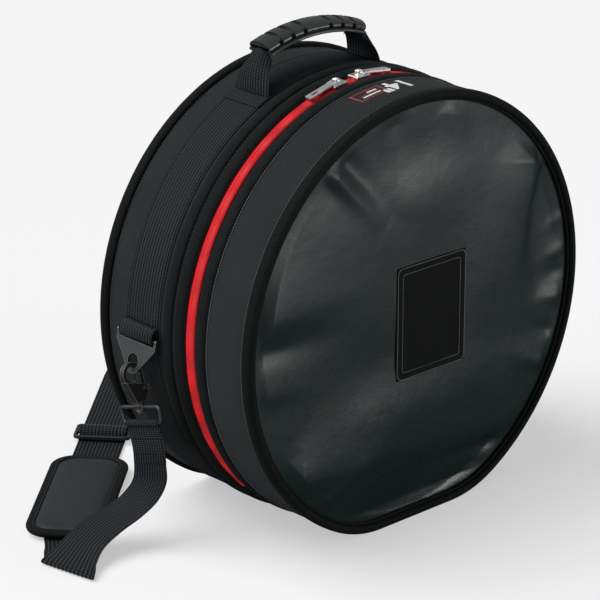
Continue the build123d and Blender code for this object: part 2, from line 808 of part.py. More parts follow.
# The webbing at the adjuster: the sewn end round its bar, and the strap where it crosses that bar
upright_strap = Plane(origin=on_strap(0, 0, 0), x_dir=strap_plane.x_dir, z_dir=strap_plane.y_dir * -1)
bar_middle = frame_bottom + frame_thickness / 2
bridge_top = frame_bottom + frame_thickness + loop_wall + 1.2
with BuildPart() as adjuster_webbing:
    with BuildSketch(upright_strap):
        with Locations((adjuster_distance, bar_middle)):
            Rectangle(4.5 + 2 * loop_wall, frame_thickness + 0.2 + 2 * loop_wall)
            Rectangle(4.5, frame_thickness + 0.2, mode=Mode.SUBTRACT)
        with Locations((adjuster_distance + 3, frame_bottom - 0.1 - loop_wall)):
            Rectangle(11, loop_wall, align=(Align.MIN, Align.MIN))
    extrude(amount=webbing_width / 2, both=True)
    with BuildSketch(upright_strap):
        with BuildLine():
            crossing = Polyline(
                (adjuster_distance - 14, frame_bottom - 1.1), (adjuster_distance - 8.6, frame_bottom - 1.1),
                (adjuster_distance - 4.9, bridge_top), (adjuster_distance + 4.9, bridge_top),
                (adjuster_distance + 9.2, frame_bottom + 1.1),
            )
            offset(crossing, amount=0.8, side=Side.BOTH)
        make_face()
    extrude(amount=webbing_width / 2, both=True)
finish(adjuster_webbing, "adjuster_webbing")

# Shoulder pad: a crowned cushion bound round its edge, on a sleeve that the strap runs through
sleeve_length = 118.0
sleeve_width = 54.0
pad_base = 3.6
pad_height = 8.0
binding_width = 7.0

with BuildPart() as pad_sleeve:
    with BuildSketch(strap_plane):
        Rectangle(sleeve_length, sleeve_width)
    extrude(amount=pad_base)
    with BuildSketch(strap_plane.offset(strap_lift - 0.1)):
        Rectangle(sleeve_length + 2, webbing_width + 0.6)
    extrude(amount=webbing_thickness + 0.2, mode=Mode.SUBTRACT)
finish(pad_sleeve, "pad_sleeve")

with BuildPart() as pad_binding:
    for level, grow in ((0.0, -2.0), (2.0, 0.0), (4.6, 0.0), (6.4, -2.6)):
        with BuildSketch(strap_plane.offset(pad_base + level)):
            RectangleRounded(pad_length + 6 + grow, pad_width + 6 + grow, 17 + grow / 2)
    loft(ruled=True)
    with BuildSketch(strap_plane.offset(pad_base)):
        RectangleRounded(pad_length + 6 - 2 * binding_width, pad_width + 6 - 2 * binding_width, 10)
    extrude(amount=pad_height, mode=Mode.SUBTRACT)
finish(pad_binding, "pad_binding")

with BuildPart() as pad_cushion:
    for level, grow in ((0.0, 0.0), (5.6, 0.0), (7.2, -7.0), (pad_height, -22.0)):
        with BuildSketch(strap_plane.offset(pad_base + level)):
            RectangleRounded(
                pad_length + 6 - 2 * binding_width + grow,
                pad_width + 6 - 2 * binding_width + grow, 10,
            )
    loft(ruled=True)
finish(pad_cushion, "pad_cushion")
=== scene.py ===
import math

import bmesh
import bpy
import numpy as np
from bpy.props import FloatProperty, FloatVectorProperty, IntProperty, PointerProperty
from mathutils import Matrix, Vector


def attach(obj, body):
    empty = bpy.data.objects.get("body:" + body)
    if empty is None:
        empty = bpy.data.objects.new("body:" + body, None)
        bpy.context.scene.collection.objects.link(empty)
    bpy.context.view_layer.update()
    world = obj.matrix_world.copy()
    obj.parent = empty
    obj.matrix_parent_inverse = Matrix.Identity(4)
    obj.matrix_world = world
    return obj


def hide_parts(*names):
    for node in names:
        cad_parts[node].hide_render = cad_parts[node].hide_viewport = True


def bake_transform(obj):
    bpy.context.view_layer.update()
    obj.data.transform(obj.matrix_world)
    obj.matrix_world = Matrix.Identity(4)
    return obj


bl_info = {
    "name": "Snare drum bag",
    "version": (1, 0, 0),
    "blender": (4, 5, 0),
    "location": "3D View > Sidebar > Drum bag",
    "description": "Builds the cloth, webbing, padding and finishes of a round padded drum bag",
    "category": "Add Mesh",
}

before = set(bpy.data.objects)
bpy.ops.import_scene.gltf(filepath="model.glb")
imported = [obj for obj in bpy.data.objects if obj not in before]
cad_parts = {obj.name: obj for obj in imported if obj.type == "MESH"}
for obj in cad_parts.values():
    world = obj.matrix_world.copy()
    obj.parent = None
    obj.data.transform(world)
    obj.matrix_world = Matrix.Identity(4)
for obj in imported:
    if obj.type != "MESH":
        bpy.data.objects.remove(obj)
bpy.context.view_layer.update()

MM = 0.001
BELT_Y = 41.0  # middle of the webbing belt along the bag's axis, in millimetres
FACE_Y = -91.0  # front of the face where it is flat
CENTRE_Z = 191.6  # height of the bag's axis as the handle was drawn
GRIP_X = -5.0  # middle of the carry handle
FOOT_RADIUS = 205.2  # of the tops of the handle's webbing feet
FLOOR_GAP = 0.04  # webbing laid on the floor stays this far above it
X, Y, Z = np.eye(3)


# Settings


def length_setting(name, description, default):
    """A length that a user can change in the sidebar."""
    return FloatProperty(name=name, description=description, default=default, unit="LENGTH")


class DrumBagSizes(bpy.types.PropertyGroup):
    """Lengths of the bag, in metres."""

    centre_height: length_setting("Centre height", "Height of the bag's axis over the floor", 0.1916)
    wall_radius: length_setting("Wall radius", "Radius of the outer cloth of the round wall", 0.201)
    rim_radius: length_setting("Rim radius", "Radius at which the flattened foot touches the floor", 0.203)
    foot_corner: length_setting("Foot corner", "Radius of the corners beside the flattened foot", 0.110)
    webbing_width: length_setting("Webbing width", "Width of the belt and of the shoulder strap", 0.044)
    fold_height: length_setting("Fold height", "How far the padded folds beside the zip swell", 0.0030)
    rib_height: length_setting("Rib height", "Height of the ribs woven along the webbing", 0.00044)
    tooth_pitch: length_setting("Tooth pitch", "Distance between two turns of the zip's coil", 0.00150)
    crease_scale: FloatProperty(
        name="Crease scale", description="How deep the creases of the soft face are; 1 leaves them as drawn",
        default=1.0, min=0.0, max=2.0, subtype="FACTOR")
    rib_count: IntProperty(
        name="Ribs", description="Number of ribs across the webbing", default=13, min=4, max=30)
    slices: IntProperty(
        name="Slices", description="Number of slices round the bag", default=288, min=48, max=720)


def colour_setting(name, description, default):
    """A colour that a user can change in the sidebar."""
    return FloatVectorProperty(
        name=name, description=description, default=default, size=3, min=0.0, max=1.0, subtype="COLOR")


class DrumBagColours(bpy.types.PropertyGroup):
    """Colours of the bag's materials."""

    cloth: colour_setting("Cloth", "Woven cloth of the walls", (0.0200, 0.0235, 0.0255))
    vinyl: colour_setting("Vinyl", "Soft vinyl of the face", (0.0050, 0.0135, 0.0130))
    binding: colour_setting("Binding", "Edge binding", (0.0032, 0.0040, 0.0042))
    webbing: colour_setting("Webbing", "Belt, handle and strap", (0.0145, 0.0170, 0.0195))
    lining: colour_setting("Lining", "Cloth inside the bag", (0.030, 0.030, 0.032))
    padding: colour_setting("Padding", "Foam in the walls", (0.22, 0.22, 0.21))
    zip_red: colour_setting("Zip red", "Coil of the zip", (0.74, 0.016, 0.022))
    print_white: colour_setting("Print white", "Printed numerals", (0.80, 0.80, 0.80))
    print_red: colour_setting("Print red", "Printed frame and bar", (0.36, 0.050, 0.050))
    plate: colour_setting("Plate", "Stamped ring plates", (0.19, 0.205, 0.205))
    smoked: colour_setting("Smoked metal", "Snap hooks and loops", (0.090, 0.094, 0.096))
    bright: colour_setting("Bright metal", "Zip sliders and pulls", (0.94, 0.94, 0.93))
    rubber: colour_setting("Rubber", "Moulded grip", (0.026, 0.030, 0.031))
    pad: colour_setting("Pad", "Top of the shoulder pad", (0.026, 0.031, 0.034))
    floor: colour_setting("Floor", "Studio floor", (0.86, 0.86, 0.86))


class DrumBagStage(bpy.types.PropertyGroup):
    """Light and camera."""

    key_power: FloatProperty(name="Window light", description="Strength of the broad light above", default=2.3)
    side_power: FloatProperty(name="Side light", description="Power of the softbox on the left", default=9.0)
    face_power: FloatProperty(name="Face light", description="Power of the softbox before the face", default=15.0)
    world_strength: FloatProperty(name="Room light", description="Strength of the even light", default=0.25)
    lens: FloatProperty(name="Lens", description="Focal length", default=0.204, subtype="DISTANCE_CAMERA")


def sizes():
    """The lengths, as set in the sidebar."""
    return bpy.context.scene.drumbag_sizes


def colours():
    """The colours, as set in the sidebar."""
    return bpy.context.scene.drumbag_colours


# Mesh helpers. Lengths in the shapes below are in millimetres; put_mesh turns them into metres.


def grid_faces(rows, columns, close_rows, close_columns):
    """Row and column numbers of the four corners of each face between neighbouring rows and columns."""
    row = np.arange(rows if close_rows else rows - 1)
    column = np.arange(columns if close_columns else columns - 1)
    a, b = np.meshgrid(row, column, indexing="ij")
    corner_rows = np.stack([a, a + 1, a + 1, a], -1).reshape(-1, 4)
    corner_columns = np.stack([b, b, b + 1, b + 1], -1).reshape(-1, 4)
    return corner_rows, corner_columns


def enclosed_volume(points, quads):
    """Six times the volume inside the faces: the sum of the triple products of two triangles per face."""
    a, b, c, d = (points[quads[:, i]] for i in range(4))
    first = np.einsum("ij,ij->i", a, np.cross(b, c))
    second = np.einsum("ij,ij->i", a, np.cross(c, d))
    return float(first.sum() + second.sum())


def link(name, data):
    """A new object in the scene."""
    item = bpy.data.objects.new(name, data)
    bpy.context.scene.collection.objects.link(item)
    return item


def closed(row):
    """A row of values or points with its first one again at the end."""
    return np.concatenate([row, row[:1]])


def run(points):
    """How far along a line each of its points lies: the lengths of its chords, added up."""
    return np.concatenate([[0.0], np.cumsum(np.linalg.norm(np.diff(points, axis=0), axis=1))])


def read_points(mesh):
    """A mesh's points as one array."""
    flat = np.zeros(len(mesh.vertices) * 3)
    mesh.vertices.foreach_get("co", flat)
    return flat.reshape(-1, 3)


def whole_turn(count):
    """Angles all the way round the bag, from the floor."""
    return np.linspace(-math.pi / 2, 1.5 * math.pi, count, endpoint=False)


def put_mesh(name, points, quads, corner_uv=None, caps=()):
    """One object at the origin from whole arrays of points and faces, turned so that its faces look out
    and agree with their neighbours."""
    if enclosed_volume(points, quads) < 0:
        quads = quads[:, ::-1]
        caps = [cap[::-1] for cap in caps]
        corner_uv = None if corner_uv is None else corner_uv[:, ::-1]
    mesh = bpy.data.meshes.new(name)
    mesh.from_pydata((points * MM).tolist(), [], quads.tolist() + [list(cap) for cap in caps])
    if corner_uv is not None:
        layer = mesh.uv_layers.new(name="UVMap")
        flat = np.zeros((len(mesh.loops), 2))
        flat[: corner_uv.shape[0] * 4] = corner_uv.reshape(-1, 2)
        layer.data.foreach_set("uv", flat.ravel())
    mesh.polygons.foreach_set("use_smooth", np.full(len(mesh.polygons), True))
    mesh.validate()
    mesh.update()
    face_out(mesh)
    return link(name, mesh)


def skin(name, sections, close_rows=True, along=None, across=None):
    """A tube through sections of points: rows are sections, columns go round each one. Open ends are capped."""
    rows, columns = sections.shape[:2]
    row, column = grid_faces(rows, columns, close_rows, True)
    quads = (row % rows) * columns + (column % columns)
    if along is None:
        step = np.linalg.norm(np.diff(sections, axis=0, append=sections[:1]), axis=2).mean(1)
        along = np.cumsum([0.0, *step])
    if across is None:
        step = np.linalg.norm(np.diff(sections, axis=1, append=sections[:, :1]), axis=2).mean(0)
        across = np.cumsum([0.0, *step])
    corner_uv = np.stack([along[row], across[column]], -1) * MM
    caps = []
    if not close_rows:
        caps = [list(range(columns))[::-1], list(range((rows - 1) * columns, rows * columns))]
    return put_mesh(name, sections.reshape(-1, 3), quads, corner_uv, caps)


def face_out(mesh):
    """Makes every face of a mesh agree with its neighbours and look out."""
    work = bmesh.new()
    work.from_mesh(mesh)
    bmesh.ops.recalc_face_normals(work, faces=work.faces)
    work.to_mesh(mesh)
    work.free()


def smooth_line(stations, count):
    """Points on a cubic curve through the stations, evenly spaced by the length of its chords.
    The slope at a station is the change from the one before to the one after."""
    stations = np.asarray(stations, float)
    chord = np.linalg.norm(np.diff(stations[:, :3], axis=0), axis=1)
    place = np.concatenate([[0.0], np.cumsum(np.maximum(chord, 1e-6))])
    slope = np.gradient(stations, place, axis=0)
    where = np.linspace(0.0, place[-1], count)
    index = np.clip(np.searchsorted(place, where, side="right") - 1, 0, len(place) - 2)
    gap = (place[index + 1] - place[index])[:, None]
    t = ((where - place[index]) / gap[:, 0])[:, None]
    return ((2 * t**3 - 3 * t**2 + 1) * stations[index] + (t**3 - 2 * t**2 + t) * gap * slope[index]
            + (3 * t**2 - 2 * t**3) * stations[index + 1] + (t**3 - t**2) * gap * slope[index + 1])


def unit(vectors):
    """The same directions, each one long."""
    return vectors / np.maximum(np.linalg.norm(vectors, axis=-1, keepdims=True), 1e-9)


def ripple(angle, seed, size, waves=(2, 3, 5, 7, 11)):
    """A gentle uneven wave round the bag: a sum of a few sines whose phases come from the seed."""
    phase = np.random.default_rng(seed).uniform(0, 2 * math.pi, len(waves))
    total = sum(np.sin(n * angle + p) / n**0.5 for n, p in zip(waves, phase))
    return size * total / len(waves)


# The round wall


def wall_reach(angle, radius):
    """Distance of the wall from the bag's axis in each direction: a circle, with a flat foot below that is
    eased into it by two corner arcs. Directions are angles from +X towards +Z; lengths are millimetres."""
    s = sizes()
    high, rim, corner = s.centre_height / MM, s.rim_radius / MM, s.foot_corner / MM
    radius = np.asarray(radius, float)
    drop = high - np.maximum(rim - radius, 0.0)
    side = np.sqrt(np.maximum((radius - corner) ** 2 - (drop - corner) ** 2, 0.0))
    turn = np.abs((np.asarray(angle) + math.pi / 2 + math.pi) % (2 * math.pi) - math.pi)
    flat = drop / np.maximum(np.cos(turn), 1e-3)
    along = side * np.sin(turn) + (drop - corner) * np.cos(turn)
    arc = along + np.sqrt(np.maximum(along**2 - side**2 - (drop - corner) ** 2 + corner**2, 0.0))
    reach = np.where(turn < np.arctan2(side, drop - corner), arc, radius)
    return np.where(turn < np.arctan2(side, drop), flat, reach)


def wall_points(angle, y, offset):
    """Points on the round wall: an angle, a place along the bag's axis and a height over the wall's cloth."""
    s = sizes()
    angle, y, offset = np.broadcast_arrays(angle, y, offset)
    reach = wall_reach(angle, s.wall_radius / MM + offset)
    return np.stack([reach * np.cos(angle), y, s.centre_height / MM + reach * np.sin(angle)], -1)


def band(name, profile, start=None, end=None, wave=0.0, seed=1, slices=None, fine=4, shape=None):
    """A closed ring, or a strip between two angles, whose section is a rounded loop through the profile's
    points. A profile point is a place along the axis and a height over the wall's cloth."""
    loop = rounded_loop(profile, fine)
    count = slices or sizes().slices
    whole = start is None
    angle = whole_turn(count) if whole else np.radians(np.linspace(start, end, count))
    grid_angle, y = np.meshgrid(angle, loop[:, 0], indexing="ij")
    high = loop[:, 1] > loop[:, 1].mean()
    offset = loop[:, 1] + np.where(high, ripple(grid_angle, seed, wave), 0.0)
    if shape is not None:
        y, offset = shape(grid_angle, y, offset, high)
    along = np.arange(count + 1) * (angle[1] - angle[0]) * sizes().wall_radius / MM
    return skin(name, wall_points(grid_angle, y, offset), whole, along=along)


def rounded_loop(profile, fine):
    """A closed loop through the profile's points on a periodic cubic curve, with fine steps per point."""
    points = np.asarray(profile, float)
    count = len(points)
    index = np.repeat(np.arange(count), fine)
    t = np.tile(np.linspace(0, 1, fine, endpoint=False), count)[:, None]
    before, here = points[(index - 1) % count], points[index]
    after, beyond = points[(index + 1) % count], points[(index + 2) % count]
    first, second = 0.5 * (after - before), 0.5 * (beyond - here)
    return ((2 * t**3 - 3 * t**2 + 1) * here + (t**3 - 2 * t**2 + t) * first
            + (3 * t**2 - 2 * t**3) * after + (t**3 - t**2) * second)


def slab_profile(front, back, low, high, ease):
    """The corners of a flat band's section, doubled so that the cubic loop keeps its sides straight."""
    e = min(ease, (high - low) / 2.2)
    return [(front, low + e), (front, high - e), (front + e, high), (back - e, high),
            (back, high - e), (back, low + e), (back - e, low), (front + e, low)]


# Webbing


def webbing_section(width, thickness):
    """The section of ribbed webbing as heights across it: each face carries sine-shaped ribs, and both
    edges are rounded. Returns places across and heights, going once round."""
    s = sizes()
    ribs, high = s.rib_count, s.rib_height / MM
    place = np.linspace(-1, 1, ribs * 6 + 1)
    fade = np.clip((1 - np.abs(place)) * 14, 0, 1)
    height = thickness / 2 - high * (0.5 + 0.5 * np.cos(math.pi * (place + 1) * ribs)) * fade
    height = height * np.sqrt(np.clip((1 - place**8), 0.12, 1))
    top = np.stack([place * width / 2, height], -1)
    low = np.stack([place[::-1] * width / 2, -height[::-1]], -1)
    return np.concatenate([top, low])


def station_line(stations, count):
    """A smooth line through stations: its points, the directions across and of the face, and the widths. A
    station is a point, the direction across the webbing and the direction its face looks; the across
    vector's length is the width where it is over two."""
    data = np.array([np.concatenate(station) for station in stations], float)
    lengths = np.linalg.norm(data[:, 3:6], axis=1)
    span = np.where(lengths < 2, sizes().webbing_width / MM, lengths)
    data[:, 3:6] /= lengths[:, None]
    line = smooth_line(np.concatenate([data, span[:, None]], 1), count)
    across = unit(line[:, 3:6])
    face = line[:, 6:9] - (line[:, 6:9] * across).sum(1, keepdims=True) * across
    return line[:, :3], across, unit(face), line[:, 9:]


def laid_webbing(name, line, thickness, along):
    """Ribbed webbing carried along a station line, with its section square to the line and off the floor."""
    centre, across, face, span = line
    section = webbing_section(1.0, thickness)
    sections = centre[:, None] + across[:, None] * section[:, :1] * span[:, None] + face[:, None] * section[:, 1:]
    sections[..., 2] = np.maximum(sections[..., 2], FLOOR_GAP)
    wide = closed(section[:, 0]) * sizes().webbing_width / MM
    return skin(name, sections, False, along=along, across=wide)


def ribbon(name, stations, thickness, count):
    """Ribbed webbing through stations."""
    line = station_line(stations, count)
    return laid_webbing(name, line, thickness, run(line[0]))


def flat_line(points, count):
    """A smooth line in a plane."""
    return smooth_line(np.asarray(points, float)[:, [0, 1, 1]] * [1, 1, 0], count)[:, :2]


def bent_sections(path, section, origin, right, up, across):
    """Sections of webbing along a path in the plane of two directions, wide in a third one."""
    slope = unit(np.gradient(path, axis=0))
    first = path[:, :1] + slope[:, 1:] * section[:, 1]
    second = path[:, 1:] - slope[:, :1] * section[:, 1]
    return origin + right * first[..., None] + up * second[..., None] + across * section[:, :1]


def bent_webbing(name, path, width, *directions):
    """Ribbed webbing along a path in a plane."""
    section = webbing_section(width, 1.7)
    sections = bent_sections(path, section, *directions)
    return skin(name, sections, False, along=run(path), across=closed(section[:, 0]))


def stitches(name, line, outward, pitch=3.2, length=2.3, radius=0.34):
    """A row of stitches along a line: each is a short spindle of six-sided rings, laid on the surface."""
    line = np.asarray(line, float)
    outward = np.broadcast_to(unit(np.asarray(outward, float)), line.shape)
    chord = run(line)
    count = max(int(chord[-1] / pitch), 1)
    where = (np.arange(count) + 0.5) * chord[-1] / count

    def sample(values, shift=0.0):
        """Values along the line at each stitch, or a little before or after it."""
        return np.stack([np.interp(where + shift, chord, values[:, i]) for i in range(3)], -1)

    up = unit(sample(outward))
    along = unit(sample(line, 0.4) - sample(line, -0.4))
    side = unit(np.cross(along, up))
    ring = np.linspace(0, 2 * math.pi, 6, endpoint=False)
    place = np.array([-0.5, -0.36, 0.0, 0.36, 0.5])[:, None]
    thick = np.array([0.28, 0.85, 1.0, 0.85, 0.28])[:, None] * radius
    rise = np.array([-0.55, 0.1, 0.35, 0.1, -0.55])[:, None] * radius + 0.1
    shape = np.stack([place * length + 0 * ring, thick * np.cos(ring), thick * np.sin(ring) + rise], -1)
    frames = np.stack([along, side, up], 1)
    points = sample(line)[:, None, None] + np.einsum("ghi,nij->nghj", shape, frames)
    rows, columns = grid_faces(5, 6, False, True)
    offset = np.arange(count)[:, None, None] * 30
    quads = (rows * 6 + columns % 6 + offset).reshape(-1, 4)
    ends = np.array([[5, 4, 3, 2, 1, 0], [24, 25, 26, 27, 28, 29]])
    return put_mesh(name, points.reshape(-1, 3), quads, None, (ends + offset).reshape(-1, 6).tolist())


def ring_stitches(name, y, offset, start=-90, end=270, pitch=3.2, **more):
    """Stitches round the wall at one place along the bag's axis."""
    angle = np.radians(np.linspace(start, end, 400))
    outward = np.stack([np.cos(angle), np.zeros_like(angle), np.sin(angle)], -1)
    return stitches(name, wall_points(angle, y, offset), outward, pitch, **more)


# Materials


def new_group(name, inputs, outputs):
    """A node group with named sockets, a Wiring to fill it, and its two end nodes."""
    group = bpy.data.node_groups.new(name, "ShaderNodeTree")
    for label, kind, default in inputs:
        socket = group.interface.new_socket(name=label, in_out="INPUT", socket_type=kind)
        if default is not None:
            socket.default_value = default
    for label, kind in outputs:
        group.interface.new_socket(name=label, in_out="OUTPUT", socket_type=kind)
    w = Wiring(group)
    return group, w, w.add("NodeGroupInput"), w.add("NodeGroupOutput")


class Wiring:
    """Adds nodes to a tree in a few words, and joins their sockets. A value given to a socket is a number, a
    colour or another socket."""

    def __init__(self, tree):
        self.tree = tree
        self.place = 0

    def add(self, kind, **settings):
        """A new node with its settings, to the right of the one before."""
        node = self.tree.nodes.new(kind)
        node.location = (self.place, 0)
        self.place += 180
        for key, value in settings.items():
            setattr(node, key, value)
        return node

    def join(self, source, target):
        """A link between two sockets."""
        self.tree.links.new(source, target)

    def give(self, node, **values):
        """Sets or joins inputs by their names, with _ for a space."""
        for name, value in values.items():
            self.fill(node.inputs[name.replace("_", " ")], value)
        return node

    def fill(self, socket, value):
        """Sets an input to a number or a colour, or joins a socket to it."""
        if isinstance(value, (int, float)):
            socket.default_value = value
        elif isinstance(value, (tuple, list)):
            socket.default_value = (*value[:3], 1.0)
        else:
            self.join(value, socket)

    def math(self, operation, first, second=0.0, clamp=False):
        """The result of a Math node."""
        node = self.add("ShaderNodeMath", operation=operation, use_clamp=clamp)
        self.fill(node.inputs[0], first)
        self.fill(node.inputs[1], second)
        return node.outputs[0]

    def mix(self, factor, first, second):
        """A colour that goes from the first to the second as the factor grows."""
        node = self.add("ShaderNodeMix", data_type="RGBA")
        for place, value in ((0, factor), (6, first), (7, second)):
            self.fill(node.inputs[place], value)
        return node.outputs[2]

    def split(self, vector):
        """The three parts of a vector."""
        node = self.add("ShaderNodeSeparateXYZ")
        self.join(vector, node.inputs[0])
        return node.outputs

    def noise(self, vector, scale, detail):
        """The height of a Noise texture."""
        return self.give(self.add("ShaderNodeTexNoise"), Vector=vector, Scale=scale, Detail=detail).outputs[0]

    def cells(self, vector, scale, **settings):
        """The distance to the nearest point of a Voronoi texture."""
        node = self.add("ShaderNodeTexVoronoi", **settings)
        return self.give(node, Vector=vector, Scale=scale).outputs["Distance"]


def weave_group():
    """Plain weave: the product of two sines gives the over and under of the threads, and each thread is
    rounded by its own sine. Puts out the height and how much a spot lies in a gap."""
    group, w, source, sink = new_group(
        "Woven threads",
        [("Vector", "NodeSocketVector", None), ("Threads per metre", "NodeSocketFloat", 1200.0)],
        [("Height", "NodeSocketFloat"), ("Gap", "NodeSocketFloat")])
    place = w.split(source.outputs[0])
    turn = w.math("MULTIPLY", source.outputs[1], math.pi)
    warp = w.math("SINE", w.math("MULTIPLY", place[0], turn))
    weft = w.math("SINE", w.math("MULTIPLY", place[1], turn))
    body = w.math("MAXIMUM", w.math("ABSOLUTE", warp), w.math("ABSOLUTE", weft))
    over = w.math("MULTIPLY", w.math("MULTIPLY", warp, weft), 0.35)
    w.join(w.math("ADD", over, w.math("MULTIPLY", body, 0.65)), sink.inputs[0])
    # The gap output is the mask of the painted shade between the threads.
    w.join(w.math("SUBTRACT", 1.0, body, clamp=True), sink.inputs[1])
    return group


def yarn_group():
    """Webbing yarn: rounded picks one after another along every rib. A pick's height is the product of one
    sine along the webbing and one across the rib."""
    group, w, source, sink = new_group(
        "Webbing yarn",
        [("Vector", "NodeSocketVector", None), ("Ribs per metre", "NodeSocketFloat", 295.0),
         ("Picks per metre", "NodeSocketFloat", 520.0)],
        [("Height", "NodeSocketFloat"), ("Valley", "NodeSocketFloat")])
    place = w.split(source.outputs[0])

    def wave(distance, rate):
        """One rounded hump for each unit of the rate: the sine without its sign."""
        turn = w.math("MULTIPLY", w.math("MULTIPLY", distance, rate), math.pi)
        return w.math("ABSOLUTE", w.math("SINE", turn))

    across = wave(place[1], source.outputs[1])
    along = wave(place[0], source.outputs[2])
    w.join(w.math("MULTIPLY", w.math("POWER", along, 0.8), across), sink.inputs[0])
    # The valley output is the mask of the painted shade between the ribs.
    w.join(w.math("POWER", w.math("SUBTRACT", 1.0, across), 0.9), sink.inputs[1])
    return group


def patina_group():
    """Uneven tone and dust: two sizes of noise lighten and darken the colour and vary the roughness."""
    group, w, source, sink = new_group(
        "Tone and dust",
        [("Vector", "NodeSocketVector", None), ("Colour", "NodeSocketColor", (0.1, 0.1, 0.1, 1)),
         ("Amount", "NodeSocketFloat", 0.2), ("Roughness", "NodeSocketFloat", 0.7),
         ("Scale", "NodeSocketFloat", 22.0)],
        [("Colour", "NodeSocketColor"), ("Roughness", "NodeSocketFloat")])
    vector, colour, amount, rough, scale = source.outputs[:5]
    broad = w.noise(vector, scale, 3.0)
    fine = w.noise(vector, w.math("MULTIPLY", scale, 40.0), 2.0)
    tone = w.math("ADD", w.math("MULTIPLY", broad, 1.2), w.math("MULTIPLY", fine, 0.8))
    swing = w.math("MULTIPLY", w.math("SUBTRACT", tone, 1.0), amount)
    lit = w.add("ShaderNodeVectorMath", operation="SCALE")
    w.join(colour, lit.inputs[0])
    w.join(w.math("ADD", 1.0, w.math("MULTIPLY", swing, 2.0)), lit.inputs["Scale"])
    w.join(lit.outputs[0], sink.inputs[0])
    w.join(w.math("ADD", rough, w.math("MULTIPLY", swing, 0.6), clamp=True), sink.inputs[1])
    return group


def shared_group(name):
    """A node group by its name, built the first time it is asked for."""
    makers = {"Woven threads": weave_group, "Webbing yarn": yarn_group, "Tone and dust": patina_group}
    return bpy.data.node_groups.get(name) or makers[name]()


def plain_material(name):
    """A material with a wired Principled shader, and a Wiring to add to it."""
    material = bpy.data.materials.new(name)
    material.use_nodes = True
    material.node_tree.nodes.clear()
    w = Wiring(material.node_tree)
    output = w.add("ShaderNodeOutputMaterial")
    shader = w.add("ShaderNodeBsdfPrincipled")
    w.join(shader.outputs[0], output.inputs[0])
    return material, shader, w


def base_material(name):
    """A material for the bag: its shader, a Wiring to add to it, and its texture coordinates."""
    material, shader, w = plain_material(name)
    return material, shader, w, w.add("ShaderNodeTexCoord").outputs


def add_patina(w, shader, colour, amount, rough, vector, scale=22.0):
    """Feeds the shader's colour and roughness through the shared tone and dust group. Returns the roughness."""
    node = w.add("ShaderNodeGroup", node_tree=shared_group("Tone and dust"))
    w.give(node, Vector=vector, Colour=colour, Amount=amount, Roughness=rough, Scale=scale)
    w.give(shader, Base_Color=node.outputs["Colour"], Roughness=node.outputs["Roughness"])
    return node.outputs["Roughness"]


def add_bump(w, shader, height, distance, strength=1.0, under=None):
    """A Bump node on the shader's normal, over another one if given."""
    bump = w.give(w.add("ShaderNodeBump"), Distance=distance, Strength=strength, Height=height)
    if under is not None:
        w.join(under, bump.inputs["Normal"])
    w.join(bump.outputs[0], shader.inputs["Normal"])
    return bump.outputs[0]


def tint(colour, factor):
    """A colour made lighter or darker."""
    return tuple(min(1.0, part * factor) for part in colour)


def cloth_material(name, colour, threads, depth, rough, sheen):
    """Woven cloth: threads on the UV map, darker in the gaps, with uneven tone and a soft sheen."""
    material, shader, w, coords = base_material(name)
    weave = w.add("ShaderNodeGroup", node_tree=shared_group("Woven threads"))
    w.give(weave, Vector=coords["UV"], Threads_per_metre=threads)
    # The threads a little lighter and the gaps much darker: painted shade in the gaps between the threads.
    toned = w.mix(weave.outputs["Gap"], tint(colour, 1.25), tint(colour, 0.30))
    add_patina(w, shader, toned, 0.26, rough, coords["Object"])
    under = add_bump(w, shader, w.noise(coords["Object"], 520.0, 3.0), 0.0014, 0.7)
    add_bump(w, shader, weave.outputs["Height"], depth, 1.0, under)
    w.give(shader, Sheen_Weight=sheen, Sheen_Roughness=0.45, Specular_IOR_Level=0.12)
    return material


def webbing_material(name, colour):
    """Ribbed webbing: picks of yarn on the UV map, dark in the valleys between the ribs."""
    material, shader, w, coords = base_material(name)
    yarn = w.add("ShaderNodeGroup", node_tree=shared_group("Webbing yarn"))
    w.give(yarn, Vector=coords["UV"], Ribs_per_metre=sizes().rib_count / sizes().webbing_width)
    # The raised picks lighter and the low ones darker: a painted highlight on the picks.
    threads = w.mix(yarn.outputs["Height"], tint(colour, 0.50), tint(colour, 3.4))
    # The valleys between the ribs nearly black: painted shade.
    toned = w.mix(yarn.outputs["Valley"], threads, tint(colour, 0.02))
    add_patina(w, shader, toned, 0.14, 0.60, coords["Object"])
    add_bump(w, shader, yarn.outputs["Height"], 0.00055)
    w.give(shader, Specular_IOR_Level=0.12)
    return material


def vinyl_material(name, colour, rough, shine, foot=1.0):
    """Soft vinyl: a fine pebbled grain from cells, and broad uneven tone and shine. Foot is the share of its
    roughness that is left at floor level, rising evenly to the whole at 150 mm."""
    material, shader, w, coords = base_material(name)
    uneven = add_patina(w, shader, colour, 0.30, rough, coords["Object"], 8.0)
    rise = w.math("MULTIPLY", w.split(coords["Object"])[2], 1 / 0.15, clamp=True)
    share = w.math("ADD", w.math("MULTIPLY", rise, 1.0 - foot), foot)
    w.join(w.math("MULTIPLY", uneven, share), shader.inputs["Roughness"])
    under = add_bump(w, shader, w.noise(coords["Object"], 26.0, 4.0), 0.0030, 0.35)
    grain = w.cells(coords["Object"], 900.0, feature="SMOOTH_F1")
    add_bump(w, shader, grain, 0.00020, 0.4, under)
    w.give(shader, Specular_IOR_Level=shine)
    return material


